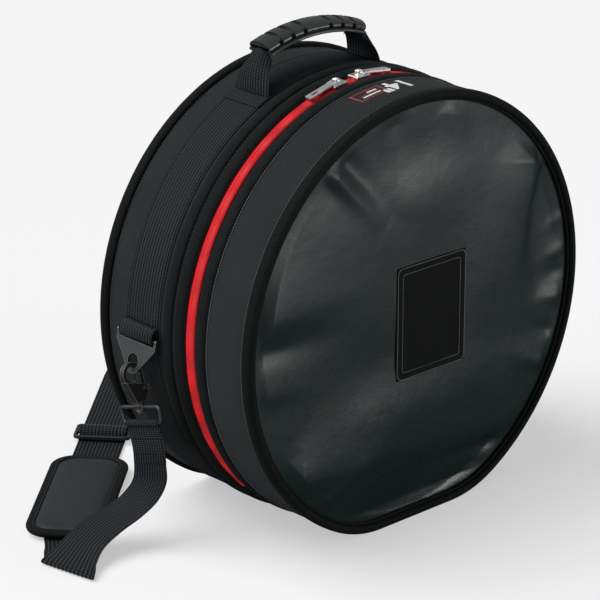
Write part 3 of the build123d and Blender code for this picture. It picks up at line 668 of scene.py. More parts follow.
def coil_material(name, colour):
    """Nylon coil: each turn is bright on its back and dark where it meets the next, by a cosine along the
    UV map with the zip's own pitch."""
    material, shader, w, coords = base_material(name)
    turn = w.math("COSINE", w.math("MULTIPLY", w.split(coords["UV"])[0], math.pi / sizes().tooth_pitch))
    back = w.math("POWER", w.math("ABSOLUTE", turn), 0.7)
    # Painted highlight on the back of each turn, painted shade between the turns.
    toned = w.mix(back, tint(colour, 0.10), tint(colour, 1.30))
    add_patina(w, shader, toned, 0.12, 0.42, coords["Object"])
    add_bump(w, shader, back, 0.0003, 0.8)
    w.give(shader, Specular_IOR_Level=0.22)
    return material


def foam_material(name, colour):
    """Open foam: small cells in height and tone."""
    material, shader, w, coords = base_material(name)
    add_patina(w, shader, colour, 0.2, 0.95, coords["Object"], 60.0)
    add_bump(w, shader, w.cells(coords["Object"], 700.0), 0.0008, 0.7)
    return material


def metal_material(name, colour, rough, brushed=False, edge=None):
    """Plated metal: fine cast or brushed grain, uneven roughness, and edges worn bright, found where the
    rounded normal turns away from the true one."""
    material, shader, w, coords = base_material(name)
    if edge is not None:
        bevel = w.give(w.add("ShaderNodeBevel", samples=4), Radius=0.0009)
        turn = w.add("ShaderNodeVectorMath", operation="DOT_PRODUCT")
        w.join(bevel.outputs[0], turn.inputs[0])
        w.join(w.add("ShaderNodeNewGeometry").outputs["Normal"], turn.inputs[1])
        # Painted highlight: the colour turns to the light edge colour near the edges.
        edge_highlight = w.math("MULTIPLY", w.math("SUBTRACT", 1.0, turn.outputs["Value"]), 9.0, clamp=True)
        colour = w.mix(edge_highlight, colour, edge)
    mapping = w.give(w.add("ShaderNodeMapping"), Vector=coords["Object"])
    mapping.inputs["Scale"].default_value = (1.0, 1.0, 14.0 if brushed else 1.0)
    add_patina(w, shader, colour, 0.22, rough, mapping.outputs[0], 120.0)
    add_bump(w, shader, w.noise(mapping.outputs[0], 900.0, 3.0), 0.00004, 0.8)
    w.give(shader, Metallic=1.0)
    return material


def plastic_material(name, colour, rough, grain=0.00008, shine=0.5):
    """Moulded plastic or rubber: a fine sparked texture and slightly uneven gloss."""
    material, shader, w, coords = base_material(name)
    add_patina(w, shader, colour, 0.14, rough, coords["Object"], 50.0)
    add_bump(w, shader, w.noise(coords["Object"], 1600.0, 2.0), grain, 0.8)
    w.give(shader, Specular_IOR_Level=shine)
    return material


def make_materials():
    """Every finish of the bag, by name."""
    c = colours()
    col = {key: tuple(getattr(c, key)) for key in DrumBagColours.__annotations__}
    return {
        "cloth": cloth_material("Wall cloth", col["cloth"], 820.0, 0.00045, 0.70, 0.04),
        "fold": cloth_material("Fold cloth", tint(col["cloth"], 0.34), 820.0, 0.00040, 0.62, 0.02),
        "face": vinyl_material("Face vinyl", col["vinyl"], 0.43, 0.46, foot=0.45),
        "binding": cloth_material("Edge binding", col["binding"], 700.0, 0.00045, 0.60, 0.02),
        "tape": cloth_material("Zip tape", tint(col["binding"], 0.8), 1600.0, 0.0002, 0.7, 0.02),
        "webbing": webbing_material("Ribbed webbing", col["webbing"]),
        "lining": cloth_material("Lining cloth", col["lining"], 900.0, 0.0004, 0.85, 0.15),
        "padding": foam_material("Padding foam", col["padding"]),
        "coil": coil_material("Red nylon coil", col["zip_red"]),
        "thread": plastic_material("Sewing thread", tint(col["webbing"], 2.2), 0.55, 0.00004),
        "grey_thread": plastic_material("Grey thread", (0.115, 0.125, 0.127), 0.55, 0.00004),
        "patch": cloth_material("Patch cloth", tint(col["binding"], 0.8), 1100.0, 0.00035, 0.8, 0.05),
        # The edge colours of the plate and the smoked nickel are painted highlights on their edges.
        "plate": metal_material("Satin plate", col["plate"], 0.42, brushed=True, edge=(0.62, 0.66, 0.66)),
        "smoked": metal_material("Smoked nickel", col["smoked"], 0.60, edge=(0.70, 0.71, 0.71)),
        "bright": metal_material("Bright nickel", col["bright"], 0.36),
        "rubber": plastic_material("Grip rubber", col["rubber"], 0.27, 0.00006, 0.75),
        "plastic": plastic_material("Adjuster plastic", tint(col["rubber"], 0.6), 0.40),
        "pad": vinyl_material("Pad vinyl", col["pad"], 0.55, 0.2),
        "print_white": plastic_material("White print", col["print_white"], 0.5),
        "print_red": plastic_material("Red print", col["print_red"], 0.5),
    }


FINISHES = {}


def dress(piece, finish, body=None, nodes=()):
    """Gives a new piece its finish and slot, and sets it on its body in place of the CAD nodes named."""
    piece.data.materials.clear()
    piece.data.materials.append(FINISHES[finish])
    if body:
        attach(piece, body)
    if nodes:
        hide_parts(*nodes)
    return piece


def refinish(node, finish):
    """Gives a CAD node that stays its better material."""
    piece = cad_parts[node]
    if not piece.data.materials:
        piece.data.materials.append(FINISHES[finish])
    for slot in piece.material_slots:
        slot.material = FINISHES[finish]


# Walls


def build_rear_wall():
    """Cloth, padding and lining of the rear half's wall."""
    cover = [(15.4, -1.4), (15.2, -0.2), (20, 0.25), (35, 0.1), (50, 0.1), (64, 0.3), (72, 0.9), (80, 0.8),
             (86, 0.1), (90.6, -0.6), (90.8, -1.4), (70, -1.5), (45, -1.5), (25, -1.5)]
    dress(band("Rear_wall_cover", cover, wave=0.5, seed=3), "cloth", "bag", ["rear_side_cover"])
    foam = slab_profile(-9.0, 89.0, -6.9, -1.7, 1.6)
    piece = dress(band("Rear_wall_padding", foam), "padding", "bag", ["rear_side_foam"])
    lining = slab_profile(-9.2, 84.5, -8.0, -7.0, 0.4)
    dress(band("Rear_wall_lining", lining), "lining", "bag", ["rear_side_lining"])


def build_back():
    """The back: cloth, padding and lining, and the wide binding round its rim."""
    panel = disc("Back_panel", 90.5, 92.0, 198.4, lambda x, z, y: y + back_depth(x, z))
    dress(panel, "cloth", "bag", ["back_panel"])
    piece = dress(disc("Back_padding", 85.1, 90.2, 194.0), "padding", "bag", ["back_foam"])
    dress(disc("Back_lining", 84.0, 85.0, 192.6), "lining", "bag", ["back_lining"])
    binding = [(86.2, 0.2), (86.0, 2.6), (88.0, 4.3), (91.5, 4.7), (94.8, 4.0), (96.9, 1.8), (97.2, -1.4),
               (96.0, -4.2), (93.8, -5.3), (91.5, -5.4), (91.3, -1.2), (91.0, 0.0)]
    ring = band("Back_binding", binding, wave=0.25, seed=5)
    dress(ring, "binding", "bag", ["back_binding"])
    dress(ring_stitches("Back_binding_stitches", 85.2, 0.35, pitch=2.9), "grey_thread", "bag")


def back_depth(x, z):
    """The back panel's shallow waves: two crossed sines that fade towards the rim."""
    reach = np.hypot(x, z - sizes().centre_height / MM) / 198.0
    wave = np.sin(x / 47.0 + 0.6) * np.sin(z / 61.0) * 0.9 + np.sin((x + z) / 33.0) * 0.3
    return wave * np.clip(1 - reach**4, 0, 1) - 0.4 * np.clip(1 - reach**2, 0, 1)


def disc(name, front, back, radius, depth=None, rings=40, slices=None):
    """A closed panel with the bag's outline: rings of points run from the middle of its front over the
    edge to the middle of its back. Depth moves a point along the axis by where it lies."""
    edge = 1.0
    count = slices or sizes().slices
    angle = whole_turn(count)
    share = np.linspace(1.0 / rings, 1.0, rings) ** 0.8 * (1 - edge / radius)
    place = np.concatenate([share, [1.0, 1.0], share[::-1]])
    ease = min(edge, (back - front) / 2.2)
    side = np.concatenate([np.full(rings, front), [front + ease, back - ease], np.full(rings, back)])
    reach = wall_reach(angle, radius)[:, None]
    x = np.cos(angle)[:, None] * reach * place
    z = sizes().centre_height / MM + np.sin(angle)[:, None] * reach * place
    y = np.broadcast_to(side, x.shape)
    if depth is not None:
        y = depth(x, z, y)
    points = np.stack([x, y, z], -1)
    columns = points.shape[1]
    row, column = grid_faces(count, columns, True, False)
    middle = np.array([points[:, 0].mean(0), points[:, -1].mean(0)])
    around = np.arange(count) * columns
    after = np.roll(around, -1)
    pole = np.full(count, count * columns)
    fans = np.concatenate([np.stack([pole, after, around], 1),
                           np.stack([pole + 1, around + columns - 1, after + columns - 1], 1)])
    piece = put_mesh(name, np.concatenate([points.reshape(-1, 3), middle]), (row % count) * columns + column,
                     None, fans.tolist())
    mesh = piece.data
    corners = np.zeros(len(mesh.loops), dtype=np.int32)
    mesh.loops.foreach_get("vertex_index", corners)
    flat_map = read_points(mesh)[corners][:, [0, 2]]
    mesh.uv_layers.new(name="UVMap").data.foreach_set("uv", flat_map.ravel())
    return piece


def build_belt():
    """The ribbed webbing belt round the rear half."""
    section = webbing_section(sizes().webbing_width / MM, 1.8)
    count = sizes().slices
    grid, y = np.meshgrid(whole_turn(count), BELT_Y + section[:, 0], indexing="ij")
    offset = np.maximum(1.0 + section[:, 1] + ripple(grid, 9, 0.25), 0.05)
    along = np.arange(count + 1) * 2 * math.pi * sizes().wall_radius / MM / count
    belt = skin("Body_webbing", wall_points(grid, y, offset), along=along, across=closed(section[:, 0]))
    dress(belt, "webbing", "bag", ["body_webbing"])
    for name, y in (("Belt_stitches_front", 22.0), ("Belt_stitches_back", 60.0)):
        dress(ring_stitches(name, y, 1.75, start=-70, end=250), "thread", "bag")


def fold_shape(angle, y, offset, high):
    """Makes a padded fold a little fuller in places, and pinched where it bends round the foot."""
    swell = ripple(angle, 21, 0.5) + ripple(angle, 22, 0.3, (13, 17, 23))
    pinch = 0.7 * np.exp(-((np.degrees(angle) + 90) / 34) ** 2)
    return y + ripple(angle, 23, 0.35), np.where(high, offset + swell - pinch, offset)


def build_zip_roll():
    """The two padded folds beside the zip on the rear half."""
    s = sizes().fold_height / MM
    roll = [(15.3, -1.4), (15.2, 0.2), (13.4, 0.8 + s * 0.62), (8.6, s + 0.9), (4.2, 0.8 + s * 0.6),
            (2.2, 0.05), (0.0, 0.8 + s * 0.55), (-4.2, s + 0.9), (-9.2, 0.7 + s * 0.55), (-11.4, -0.1),
            (-11.2, -1.4), (2.0, -1.5)]
    piece = band("Rear_zip_roll", roll, seed=7, shape=fold_shape, fine=6)
    dress(piece, "fold", "bag", ["rear_zip_roll"])
    stitched = ring_stitches("Roll_stitches", 2.2, 0.35, start=-58, end=238, pitch=3.6)
    dress(stitched, "thread", "bag")


def build_lid_wall():
    """Cloth, padding and lining of the lid's wall, and the folded edge beside the zip."""
    cover = [(-91.0, -1.4), (-90.6, -0.5), (-86, 0.1), (-80, 0.8), (-66, 1.3), (-52, 1.0), (-42, 0.4),
             (-38.9, -0.1), (-38.7, -1.4), (-50, -1.5), (-75, -1.5)]
    dress(band("Lid_wall_cover", cover, wave=0.6, seed=11), "cloth", "lid", ["lid_side_cover"])
    s = sizes().fold_height / MM
    flap = [(-38.2, -1.4), (-38.1, 0.3), (-36.6, 1.1 + s * 0.3), (-32.0, 0.9 + s * 0.6), (-27.8, 0.5 + s * 0.4),
            (-26.0, -0.5), (-26.4, -1.4), (-32, -1.5)]
    piece = band("Lid_zip_flap", flap, seed=13, shape=fold_shape, fine=6)
    dress(piece, "fold", "lid", ["lid_zip_flap"])
    cord = [(-39.3, 0.0), (-39.0, 0.95), (-38.2, 1.3), (-37.4, 0.95), (-37.1, 0.0), (-38.2, -0.4)]
    dress(band("Lid_seam_cord", cord, wave=0.12, seed=14), "binding", "lid")
    dress(ring_stitches("Lid_seam_stitches", -41.2, 0.75, pitch=2.9, radius=0.42), "grey_thread", "lid")
    foam = slab_profile(-89.0, -36.0, -6.9, -1.7, 1.6)
    pad = dress(band("Lid_wall_padding", foam), "padding", "lid", ["lid_side_foam"])
    lining = slab_profile(-83.5, -35.8, -8.0, -7.0, 0.4)
    dress(band("Lid_wall_lining", lining), "lining", "lid", ["lid_side_lining"])


def crease(x, z, start, end, width, height, lean):
    """A ridge from start to end: its height falls off to each side as a bell, and along it from full near
    start to nothing at end. The bell widens along the way. A lean over one widens the flank on the left of
    the way as much as it narrows the other."""
    sx, sz = start
    ex, ez = end
    length = math.hypot(ex - sx, ez - sz)
    ux, uz = (ex - sx) / length, (ez - sz) / length
    along = ((x - sx) * ux + (z - sz) * uz) / length
    aside = -(x - sx) * uz + (z - sz) * ux
    spread = width * (0.4 + 0.6 * np.clip(along, 0, 1.3)) * np.where(aside > 0, lean, 1 / lean)
    fade = np.clip(1 - along, 0, 1) ** 1.1 * np.clip(along * 6 + 0.6, 0, 1) ** 2
    return height * fade * np.exp(-np.abs(aside / spread) ** 1.7)


def dent(x, z, place, reach, height):
    """A soft bulge or dent: an elliptical bell about a place."""
    return height * np.exp(-((x - place[0]) / reach[0]) ** 2 - ((z - place[1]) / reach[1]) ** 2)


# Ridges and valleys of the soft face in millimetres: start, end, width, height and lean.
FACE_CREASES = (
    ((-114, 354), (-40, 284), 17, 8.0, 1.5), ((-90, 356), (-4, 262), 20, -5.0, 1.0),
    ((-194, 232), (-20, 238), 60, 9.5, 1.6), ((-188, 204), (-70, 200), 24, -4.5, 1.0),
    ((-188, 166), (-70, 156), 36, 2.4, 1.5), ((144, 314), (112, 140), 40, 9.5, 0.6),
    ((164, 306), (128, 252), 11, 4.0, 0.7), ((190, 240), (146, 220), 14, 3.2, 1.3),
    ((192, 206), (140, 198), 14, 3.0, 0.8), ((192, 186), (146, 182), 13, -3.4, 1.0),
    ((188, 162), (130, 168), 15, 3.4, 1.3), ((178, 130), (122, 146), 15, -3.0, 1.0),
    ((166, 100), (104, 130), 17, 3.4, 0.8), ((-158, 74), (130, 62), 46, 8.0, 1.5),
    ((-134, 34), (-30, 84), 15, 4.0, 1.2), ((110, 40), (-60, 44), 16, -4.0, 1.0),
    ((40, 380), (66, 290), 34, 3.0, 1.2), ((-30, 384), (-16, 300), 26, -2.6, 1.0))
# Bulges and dents of the face: place, reach and height.
FACE_DENTS = (
    ((160, 236), (22, 64), -7.0), ((30, 300), (90, 40), 2.6), ((-10, 340), (110, 30), -2.4),
    ((-60, 150), (50, 36), -3.0), ((10, 112), (96, 34), 3.0), ((84, 214), (34, 60), 2.4),
    ((40, 14), (120, 22), -5.0))


def face_depth(x, z):
    """How far the face stands forward: a shallow crown, soft dents, and creases that start at the rim. The
    sum is eased so that it never passes the padding behind it or stands far past the rim."""
    s = sizes()
    reach = np.hypot(x, z - s.centre_height / MM) / 196.0
    inside = np.clip((1 - reach) * 13, 0, 1) * np.clip((z - 6) / 14, 0, 1)
    out = 2.2 * np.clip(1 - reach**2, 0, 1)
    for crease_line in FACE_CREASES:
        out = out + s.crease_scale * crease(x, z, *crease_line)
    for place in FACE_DENTS:
        out = out + s.crease_scale * dent(x, z, *place)
    return np.where(out > 0, 14.0 * np.tanh(out / 14.0), 3.9 * np.tanh(out / 3.9)) * inside


def build_face():
    """The soft face with its creases, its padding and lining."""
    panel = disc("Face_panel", FACE_Y, -89.6, 198.6, lambda x, z, y: y - face_depth(x, z), rings=110, slices=400)
    dress(panel, "face", "lid", ["lid_face_panel"])
    pad = disc("Face_padding", -85.4, -84.1, 194.0)
    dress(pad, "padding", "lid", ["lid_face_foam"])
    dress(disc("Face_lining", -84.0, -83.0, 192.6), "lining", "lid", ["lid_face_lining"])


def build_front_rim():
    """The binding round the front rim, the thin cord inside it, and their stitches."""
    binding = [(-86.1, 0.0), (-86.0, 1.6), (-88.4, 2.5), (-92.0, 2.7), (-95.4, 1.9), (-97.2, -0.6),
               (-97.0, -3.4), (-94.8, -5.0), (-92.4, -4.4), (-91.6, -2.0), (-90.0, -0.3)]
    ring = band("Front_binding", binding, wave=0.25, seed=17)
    dress(ring, "binding", "lid", ["front_binding"])
    dress(ring_stitches("Front_binding_stitches", -84.6, 0.45, pitch=2.9), "grey_thread", "lid")
    cord = [(-93.6, -7.6), (-94.2, -6.6), (-93.8, -5.4), (-92.2, -5.0), (-91.0, -6.2), (-91.4, -7.8)]
    dress(band("Lid_piping", cord, wave=0.1, seed=18), "binding", "lid", ["lid_piping"])


def rounded_rectangle(centre, width, height, corner, count=16):
    """Points round a rectangle with rounded corners, as places across and up."""
    turn = np.linspace(0, math.pi / 2, count)
    corners = []
    for quarter, (sx, sz) in enumerate(((1, 1), (-1, 1), (-1, -1), (1, -1))):
        angle = turn + quarter * math.pi / 2
        corners.append(np.stack([
            centre[0] + sx * (width / 2 - corner) + corner * np.cos(angle),
            centre[1] + sz * (height / 2 - corner) + corner * np.sin(angle)], -1))
    return np.concatenate(corners)


def face_front(x, z, proud):
    """Points at a height over the front of the face."""
    return np.stack([x, FACE_Y - face_depth(x, z) - proud, z], -1)


def build_patch():
    """The plain patch on the face: a cloth rectangle with a row of stitches at its edge and one inside."""
    centre, width, height = (16.0, 188.0), 84.0, 106.0
    rows, columns = 40, 48
    u, v = np.meshgrid(np.linspace(-1, 1, columns), np.linspace(-1, 1, rows))
    x, z = centre[0] + u * width / 2, centre[1] + v * height / 2
    edge = np.clip((1 - np.maximum(np.abs(u), np.abs(v))) * 14, 0, 1)
    flat = np.concatenate([face_front(x, z, proud).reshape(-1, 3) for proud in (0.15 + 0.75 * edge, -0.2)])
    row, column = grid_faces(rows, columns, False, False)
    face = row * columns + column
    size = rows * columns
    rim = np.concatenate([np.arange(columns), np.arange(1, rows) * columns + columns - 1,
                          size - 2 - np.arange(columns - 1), (rows - 2 - np.arange(rows - 2)) * columns])
    after = np.roll(rim, -1)
    sides = np.stack([rim, rim + size, after + size, after], -1)
    quads = np.concatenate([face, face[:, ::-1] + size, sides])
    corner = flat[quads]
    piece = put_mesh("Face_patch", flat, quads, corner[..., [0, 2]] * MM)
    dress(piece, "patch", "lid", ["face_patch"])
    seams = (("Patch_edge_stitches", 1.0, 5.0, 1.5, 1.6), ("Patch_inner_stitches", 7.0, 3.0, 2.6, 2.0))
    for name, inset, radius, pitch, length in seams:
        line = closed(rounded_rectangle(centre, width - 2 * inset, height - 2 * inset, radius))
        points = face_front(line[:, 0], line[:, 1], 0.9)
        dress(stitches(name, points, -Y, pitch, length, 0.42), "grey_thread", "lid")


def build_label():
    """The size print on top of the lid's wall: the numerals, a red frame and three bars."""
    text = bpy.data.curves.new("Size_numerals", "FONT")
    text.body = "14\""
    text.size = 27
    text.align_x = text.align_y = "CENTER"
    text.extrude = 0.12
    text.offset = 0.75
    holder = link("Size_numerals", text)
    bpy.context.view_layer.update()
    mesh = bpy.data.meshes.new_from_object(holder)
    bpy.data.objects.remove(holder)
    flat = read_points(mesh)
    angle = math.pi / 2 - (4.0 - flat[:, 0]) / 202.0
    placed = wall_points(angle, -57.0 - flat[:, 1], 1.35 + flat[:, 2] * 0.9)
    mesh.vertices.foreach_set("co", (placed * MM).ravel())
    mesh.name = "Size_print"
    face_out(mesh)
    dress(link("Size_print", mesh), "print_white", "lid", ["size_label"])
    red, white = "print_red", "print_white"
    strips = (
        ("Frame_front", -64.5, -63.3, 92.4, 101.4, red), ("Frame_back", -49.3, -48.1, 92.4, 101.4, red),
        ("Frame_right", -64.5, -48.1, 92.2, 92.6, red), ("Frame_left", -64.5, -48.1, 101.2, 101.6, red),
        ("Bar_front", -60.6, -58.4, 94.0, 99.8, white), ("Bar_middle", -57.2, -55.8, 94.0, 99.8, red),
        ("Bar_back", -54.4, -52.2, 94.0, 97.0, white))
    for name, front, back, start, end, finish in strips:
        strip = band(f"Size_{name}", slab_profile(front, back, 0.75, 1.35, 0.2), start=start, end=end, slices=24)
        dress(strip, finish, "lid")


# Zip


def coil(name, middle, wide, body, node):
    """Half of the zip's coil: half of an arch, from the middle of the zip to its edge, whose height and
    width rise and fall once for each turn."""
    pitch = sizes().tooth_pitch / MM
    radius = sizes().wall_radius / MM
    start, end = math.radians(-46), math.radians(226)
    turns = int((end - start) * radius / pitch)
    angle = np.linspace(start, end, turns * 4 + 1)
    across = np.array([0.0, 0.0, 0.0, 0.12, 0.30, 0.52, 0.72, 0.88, 0.97, 1.0, 0.96, 0.60, 0.25])
    top = np.sqrt(np.clip(1 - across**2.0, 0, 1))
    lift = np.where(np.arange(13) < 10, top, 0.0) * 2.6
    lift[:2] = (0.0, 1.2)
    beat = 0.5 + 0.5 * np.cos(np.arange(len(angle)) * math.pi / 2)
    grid, loop = np.meshgrid(angle, across, indexing="ij")
    y = middle + loop * wide * (0.96 + 0.04 * beat[:, None])
    offset = -1.6 + lift[None, :] * (0.88 + 0.12 * beat[:, None])
    piece = skin(name, wall_points(grid, y, offset), False)
    return dress(piece, "coil", body, [node])


def build_zip():
    """Both tapes and both halves of the red coil."""
    for name, front, back, body, node in (
            ("Zip_tape_lid", -36.0, -19.2, "lid", "zip_tape_lid"),
            ("Zip_tape_rear", -17.8, -9.2, "bag", "zip_tape_rear")):
        tape = band(name, slab_profile(front, back, -2.4, -1.7, 0.25), fine=2)
        dress(tape, "tape", body, [node])
    coil("Zip_coil_lid", -18.52, -5.7, "lid", "zip_coil_lid")
    coil("Zip_coil_rear", -18.48, 5.7, "bag", "zip_coil_rear")
    for node in ("zip_slider_left", "zip_slider_right", "zip_pull_left", "zip_pull_right"):
        refinish(node, "bright")


def build_gusset():
    """The plain strip under the bag that joins the halves: it bends between them as the lid opens."""
    profile = slab_profile(-26.2, -11.4, -1.7, -0.6, 0.3)
    piece = band("Hinge_gusset", profile, start=-133, end=-47, slices=90)
    dress(piece, "fold", nodes=["hinge_gusset"])
    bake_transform(piece)


# Handle


def foot_height(side):
    """Height of the top of the webbing foot under one leg of the handle."""
    return CENTRE_Z + math.sqrt(FOOT_RADIUS**2 - (GRIP_X + side * 68.5) ** 2)


def leg_stations(side):
    """Where one leg of the handle runs: from the belt, up and over into the grip."""
    foot, neck = foot_height(side), 419.5 if side < 0 else 416.5
    route = [(68.7, foot - 1.7, 43, 90), (68.8, 389.0, 41, 90), (68.5, 396.0, 38, 93), (67.0, 403.5, 33, 103),
             (64.0, 410.8, 28, 120), (60.4, neck - 1.8, 24.5, 146), (56.6, neck - 0.2, 22.5, 166)]
    return [
        ((GRIP_X + side * out, BELT_Y, z), (0, width, 0),
         (side * math.sin(math.radians(lean)), 0, -math.cos(math.radians(lean))))
        for out, z, width, lean in route]


def build_handle():
    """The webbing legs and feet of the carry handle, and its moulded grip."""
    for name, side in (("left", -1), ("right", 1)):
        leg = folded_leg(f"Handle_leg_{name}", leg_stations(side))
        dress(leg, "webbing", nodes=[f"handle_leg_{name}"])
        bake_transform(leg)
        centre = math.degrees(math.acos((GRIP_X + side * 66.4) / FOOT_RADIUS))
        foot = webbing_foot(f"Handle_foot_{name}", *sorted((centre, centre - side * 5.0)))
        dress(foot, "webbing", "bag", [f"handle_foot_{name}"])
        cross_row(f"Foot_stitches_{name}", centre - side * 3.6)
    refinish("handle_grip", "rubber")
    refinish("handle_core", "webbing")


def folded_leg(name, stations):
    """A leg of webbing whose edges curl towards each other as it narrows: the section is an arc whose
    bend grows along the way."""
    line = smooth_line([np.concatenate(station) for station in stations], 48)
    centre, width, face = line[:, :3], np.linalg.norm(line[:, 3:6], axis=1), unit(line[:, 6:9])
    across = unit(line[:, 3:6])
    share = np.linspace(0, 1, len(line))
    bend = 0.15 + 2.5 * share**1.4
    place, height = webbing_section(1.0, 1.9).T
    radius = (44.0 - 8.0 * share) / bend
    angle = place * bend[:, None]
    reach = radius[:, None] + height
    squeeze = (width / np.maximum(2 * radius * np.sin(np.minimum(bend / 2, math.pi / 2)), 1e-6))[:, None]
    sideways = reach * np.sin(angle) * squeeze
    lift = reach * np.cos(angle) - radius[:, None]
    sections = centre[:, None] + across[:, None] * sideways[..., None] + face[:, None] * lift[..., None]
    return skin(name, sections, False, along=run(centre), across=closed(place) * 44.0)


def webbing_foot(name, start, end):
    """Webbing laid along the round wall between two angles, its middle a little over the belt."""
    lift = 2.3
    section = webbing_section(44.0, 1.2)
    angle = np.radians(np.linspace(start, end, 40))
    grid, y = np.meshgrid(angle, BELT_Y + section[:, 0], indexing="ij")
    along = (angle - angle[0]) * (201.0 + lift)
    return skin(name, wall_points(grid, y, lift + section[:, 1]), False, along=along, across=closed(section[:, 0]))


def cross_row(name, degrees):
    """A row of stitches across a webbing foot."""
    angle = math.radians(degrees)
    line = wall_points(angle, np.linspace(BELT_Y - 19.0, BELT_Y + 19.0, 20), 2.95)
    piece = stitches(name, line, (math.cos(angle), 0, math.sin(angle)), 2.6, 2.0, 0.4)
    return dress(piece, "thread", "bag")


# Strap hardware


def hook_frame(side):
    """The hook's origin and its directions outwards, up and across, as in the CAD."""
    lean = math.radians(17.0 if side < 0 else -8.0)
    out = np.array([side, 0.0, 0.0])
    up = np.array([0.0, math.sin(lean), math.cos(lean)])
    return np.array([side * 214.68, BELT_Y, 162.36]), out, up, np.cross(out, up)


def chape_piece(name, side):
    """The folded webbing that holds the plate: down the wall, round the plate's bar and back up."""
    around = np.linspace(0.04 * math.pi, -1.06 * math.pi, 14)
    turn = [208.0, 190.0] + 3.1 * np.stack([np.cos(around), np.sin(around)], -1)
    outer = [[203.9, 200.4], [206.4, 200.2], [209.3, 197.8], [211.0, 193.6]]
    inner = [[204.7, 193.6], [204.3, 196.4], [203.6, 199.2]]
    path = flat_line(np.concatenate([outer, turn, inner]), 90)
    return bent_webbing(name, path, 43.0, Y * BELT_Y, X * side, Z, Y)


def build_hardware():
    """The chapes in webbing, and the finishes of the plates, hooks, gates, pins and loops."""
    for name, side in (("left", -1), ("right", 1)):
        dress(chape_piece(f"Chape_{name}", side), "webbing", "bag", [f"chape_{name}"])
        line = np.linspace((side * 208.2, 22, 199.6), (side * 208.2, 60, 199.6), 20)
        piece = stitches(f"Chape_stitches_{name}", line, (side * 0.8, 0, 0.6), 2.4, 1.9, 0.40)
        dress(piece, "thread", "bag")
        refinish(f"ring_plate_{name}", "plate")
        for node in ("snap_hook", "hook_gate", "gate_pin", "swivel_loop"):
            refinish(f"{node}_{name}", "smoked")
    refinish("strap_adjuster", "plastic")


# Shoulder strap

STRAP_TURN = math.radians(40.9)  # of the strap's straight run on the floor, from +X towards +Y
ALONG = np.array([math.cos(STRAP_TURN), math.sin(STRAP_TURN), 0.0])
ACROSS = np.array([math.sin(STRAP_TURN), -math.cos(STRAP_TURN), 0.0])
PAD_CENTRE = np.array([-205.0, 132.0, 0.0])
UP, DOWN = Z, -Z


def on_strap(distance, aside=0.0, height=1.8):
    """Points of the strap's straight run on the floor: how far along it, to its side and over the floor."""
    distance, aside, height = (np.asarray(value)[..., None] for value in (distance, aside, height))
    return PAD_CENTRE + ALONG * distance + ACROSS * aside + Z * height


def hung(side, drop, flip=1):
    """A station where the strap hangs below its hook."""
    origin, out, up, across = hook_frame(side)
    return origin + out + up * (-50.0 - drop), across * flip, out * flip


def left_drop():
    """The left-hand strap from its loop, turning over on to the floor."""
    return [
        hung(-1, 9.0, -1), hung(-1, 20, -1),
        ((-214, 20.5, 78.2), (0, -0.963, 0.27), (-1, 0, 0)),
        ((-212.5, 23.5, 59), (0.05, -0.97, 0.22), (-0.95, 0, -0.3)),
        ((-218.5, 30, 43), (0.12, -0.97, 0.16), (-0.80, 0, 0.60)),
        ((-232, 37, 31), (0.20, -0.96, 0.10), (-0.45, 0, 0.90)),
        ((-250, 43, 22), (0.14, -0.99, 0.02), (-0.30, 0, 0.95)),
        ((-270, 41, 15), (0.08, -1.0, 0), (-0.30, 0, 0.95)),
        ((-290, 34, 8), (0.14 * 50, -0.99 * 50, 0), (-0.3, 0, 0.95)),
        ((-305, 26, 5.0), (0.17 * 58, -0.985 * 58, 0), (-0.3, 0, 1)),
    ]


def right_drop():
    """The right-hand strap from its loop down to the floor."""
    _, target, _, onward_across, _ = fold_points()
    return [
        hung(1, 9.0, -1), hung(1, 20, -1), hung(1, 38, -1),
        ((209, 59, 52), (0.35, 0.93, 0.20), (-0.90, 0.26, 0.34)),
        ((204, 73, 27), (0.70, 0.70, 0.10), (-0.46, 0.34, 0.80)),
        ((191, 93, 11), (0.88, 0.47, 0), (-0.12, 0.22, 0.94)),
        (target + UP, onward_across, UP),
    ]


def split_ribbon(stations, cut, names, thick):
    """One smooth ribbon cut in two at a height over the floor, so that each piece can bend between its own
    two bodies while the line runs on unbroken. Each piece has its own thickness."""
    count = 200
    line = station_line(stations, count)
    along = run(line[0])
    middle = int(np.argmin(np.abs(line[0][:, 2] - cut)))
    return [laid_webbing(name, [part[share] for part in line], thickness, along[share])
            for name, share, thickness in zip(names, (slice(0, middle + 1), slice(middle, count)), thick)]


def strap_end_piece(name, side):
    """The sewn end: webbing that comes down the front of the loop's foot, round it and up the back."""
    origin, out, up, across = hook_frame(side)
    around = np.linspace(-0.5 * math.pi, 1.5 * math.pi, 40)
    ring = np.stack([2.9 * np.cos(around), 2.9 * np.sin(around)], -1)
    path = np.concatenate([[[1.0, -13.8], [1.0, -8.0]], ring[3:-3], [[-1.0, -8.0], [-1.0, -13.8]]])
    return bent_webbing(name, flat_line(path, 80), 43.5, origin + out + up * -50.0, out, up, across)


def fold_points():
    """The fold behind the bag: its place, the directions after it, and its crease."""
    fold = on_strap(359)
    target = np.array([172.0, 117.0, 1.8])
    onward = unit((target - fold) * [1, 1, 0])
    onward_across = np.array([-onward[1], onward[0], 0.0])
    crease_line = unit(ALONG + onward)
    length = 44.0 / abs(float(crease_line @ ACROSS))
    return fold, target, onward, onward_across, crease_line * length


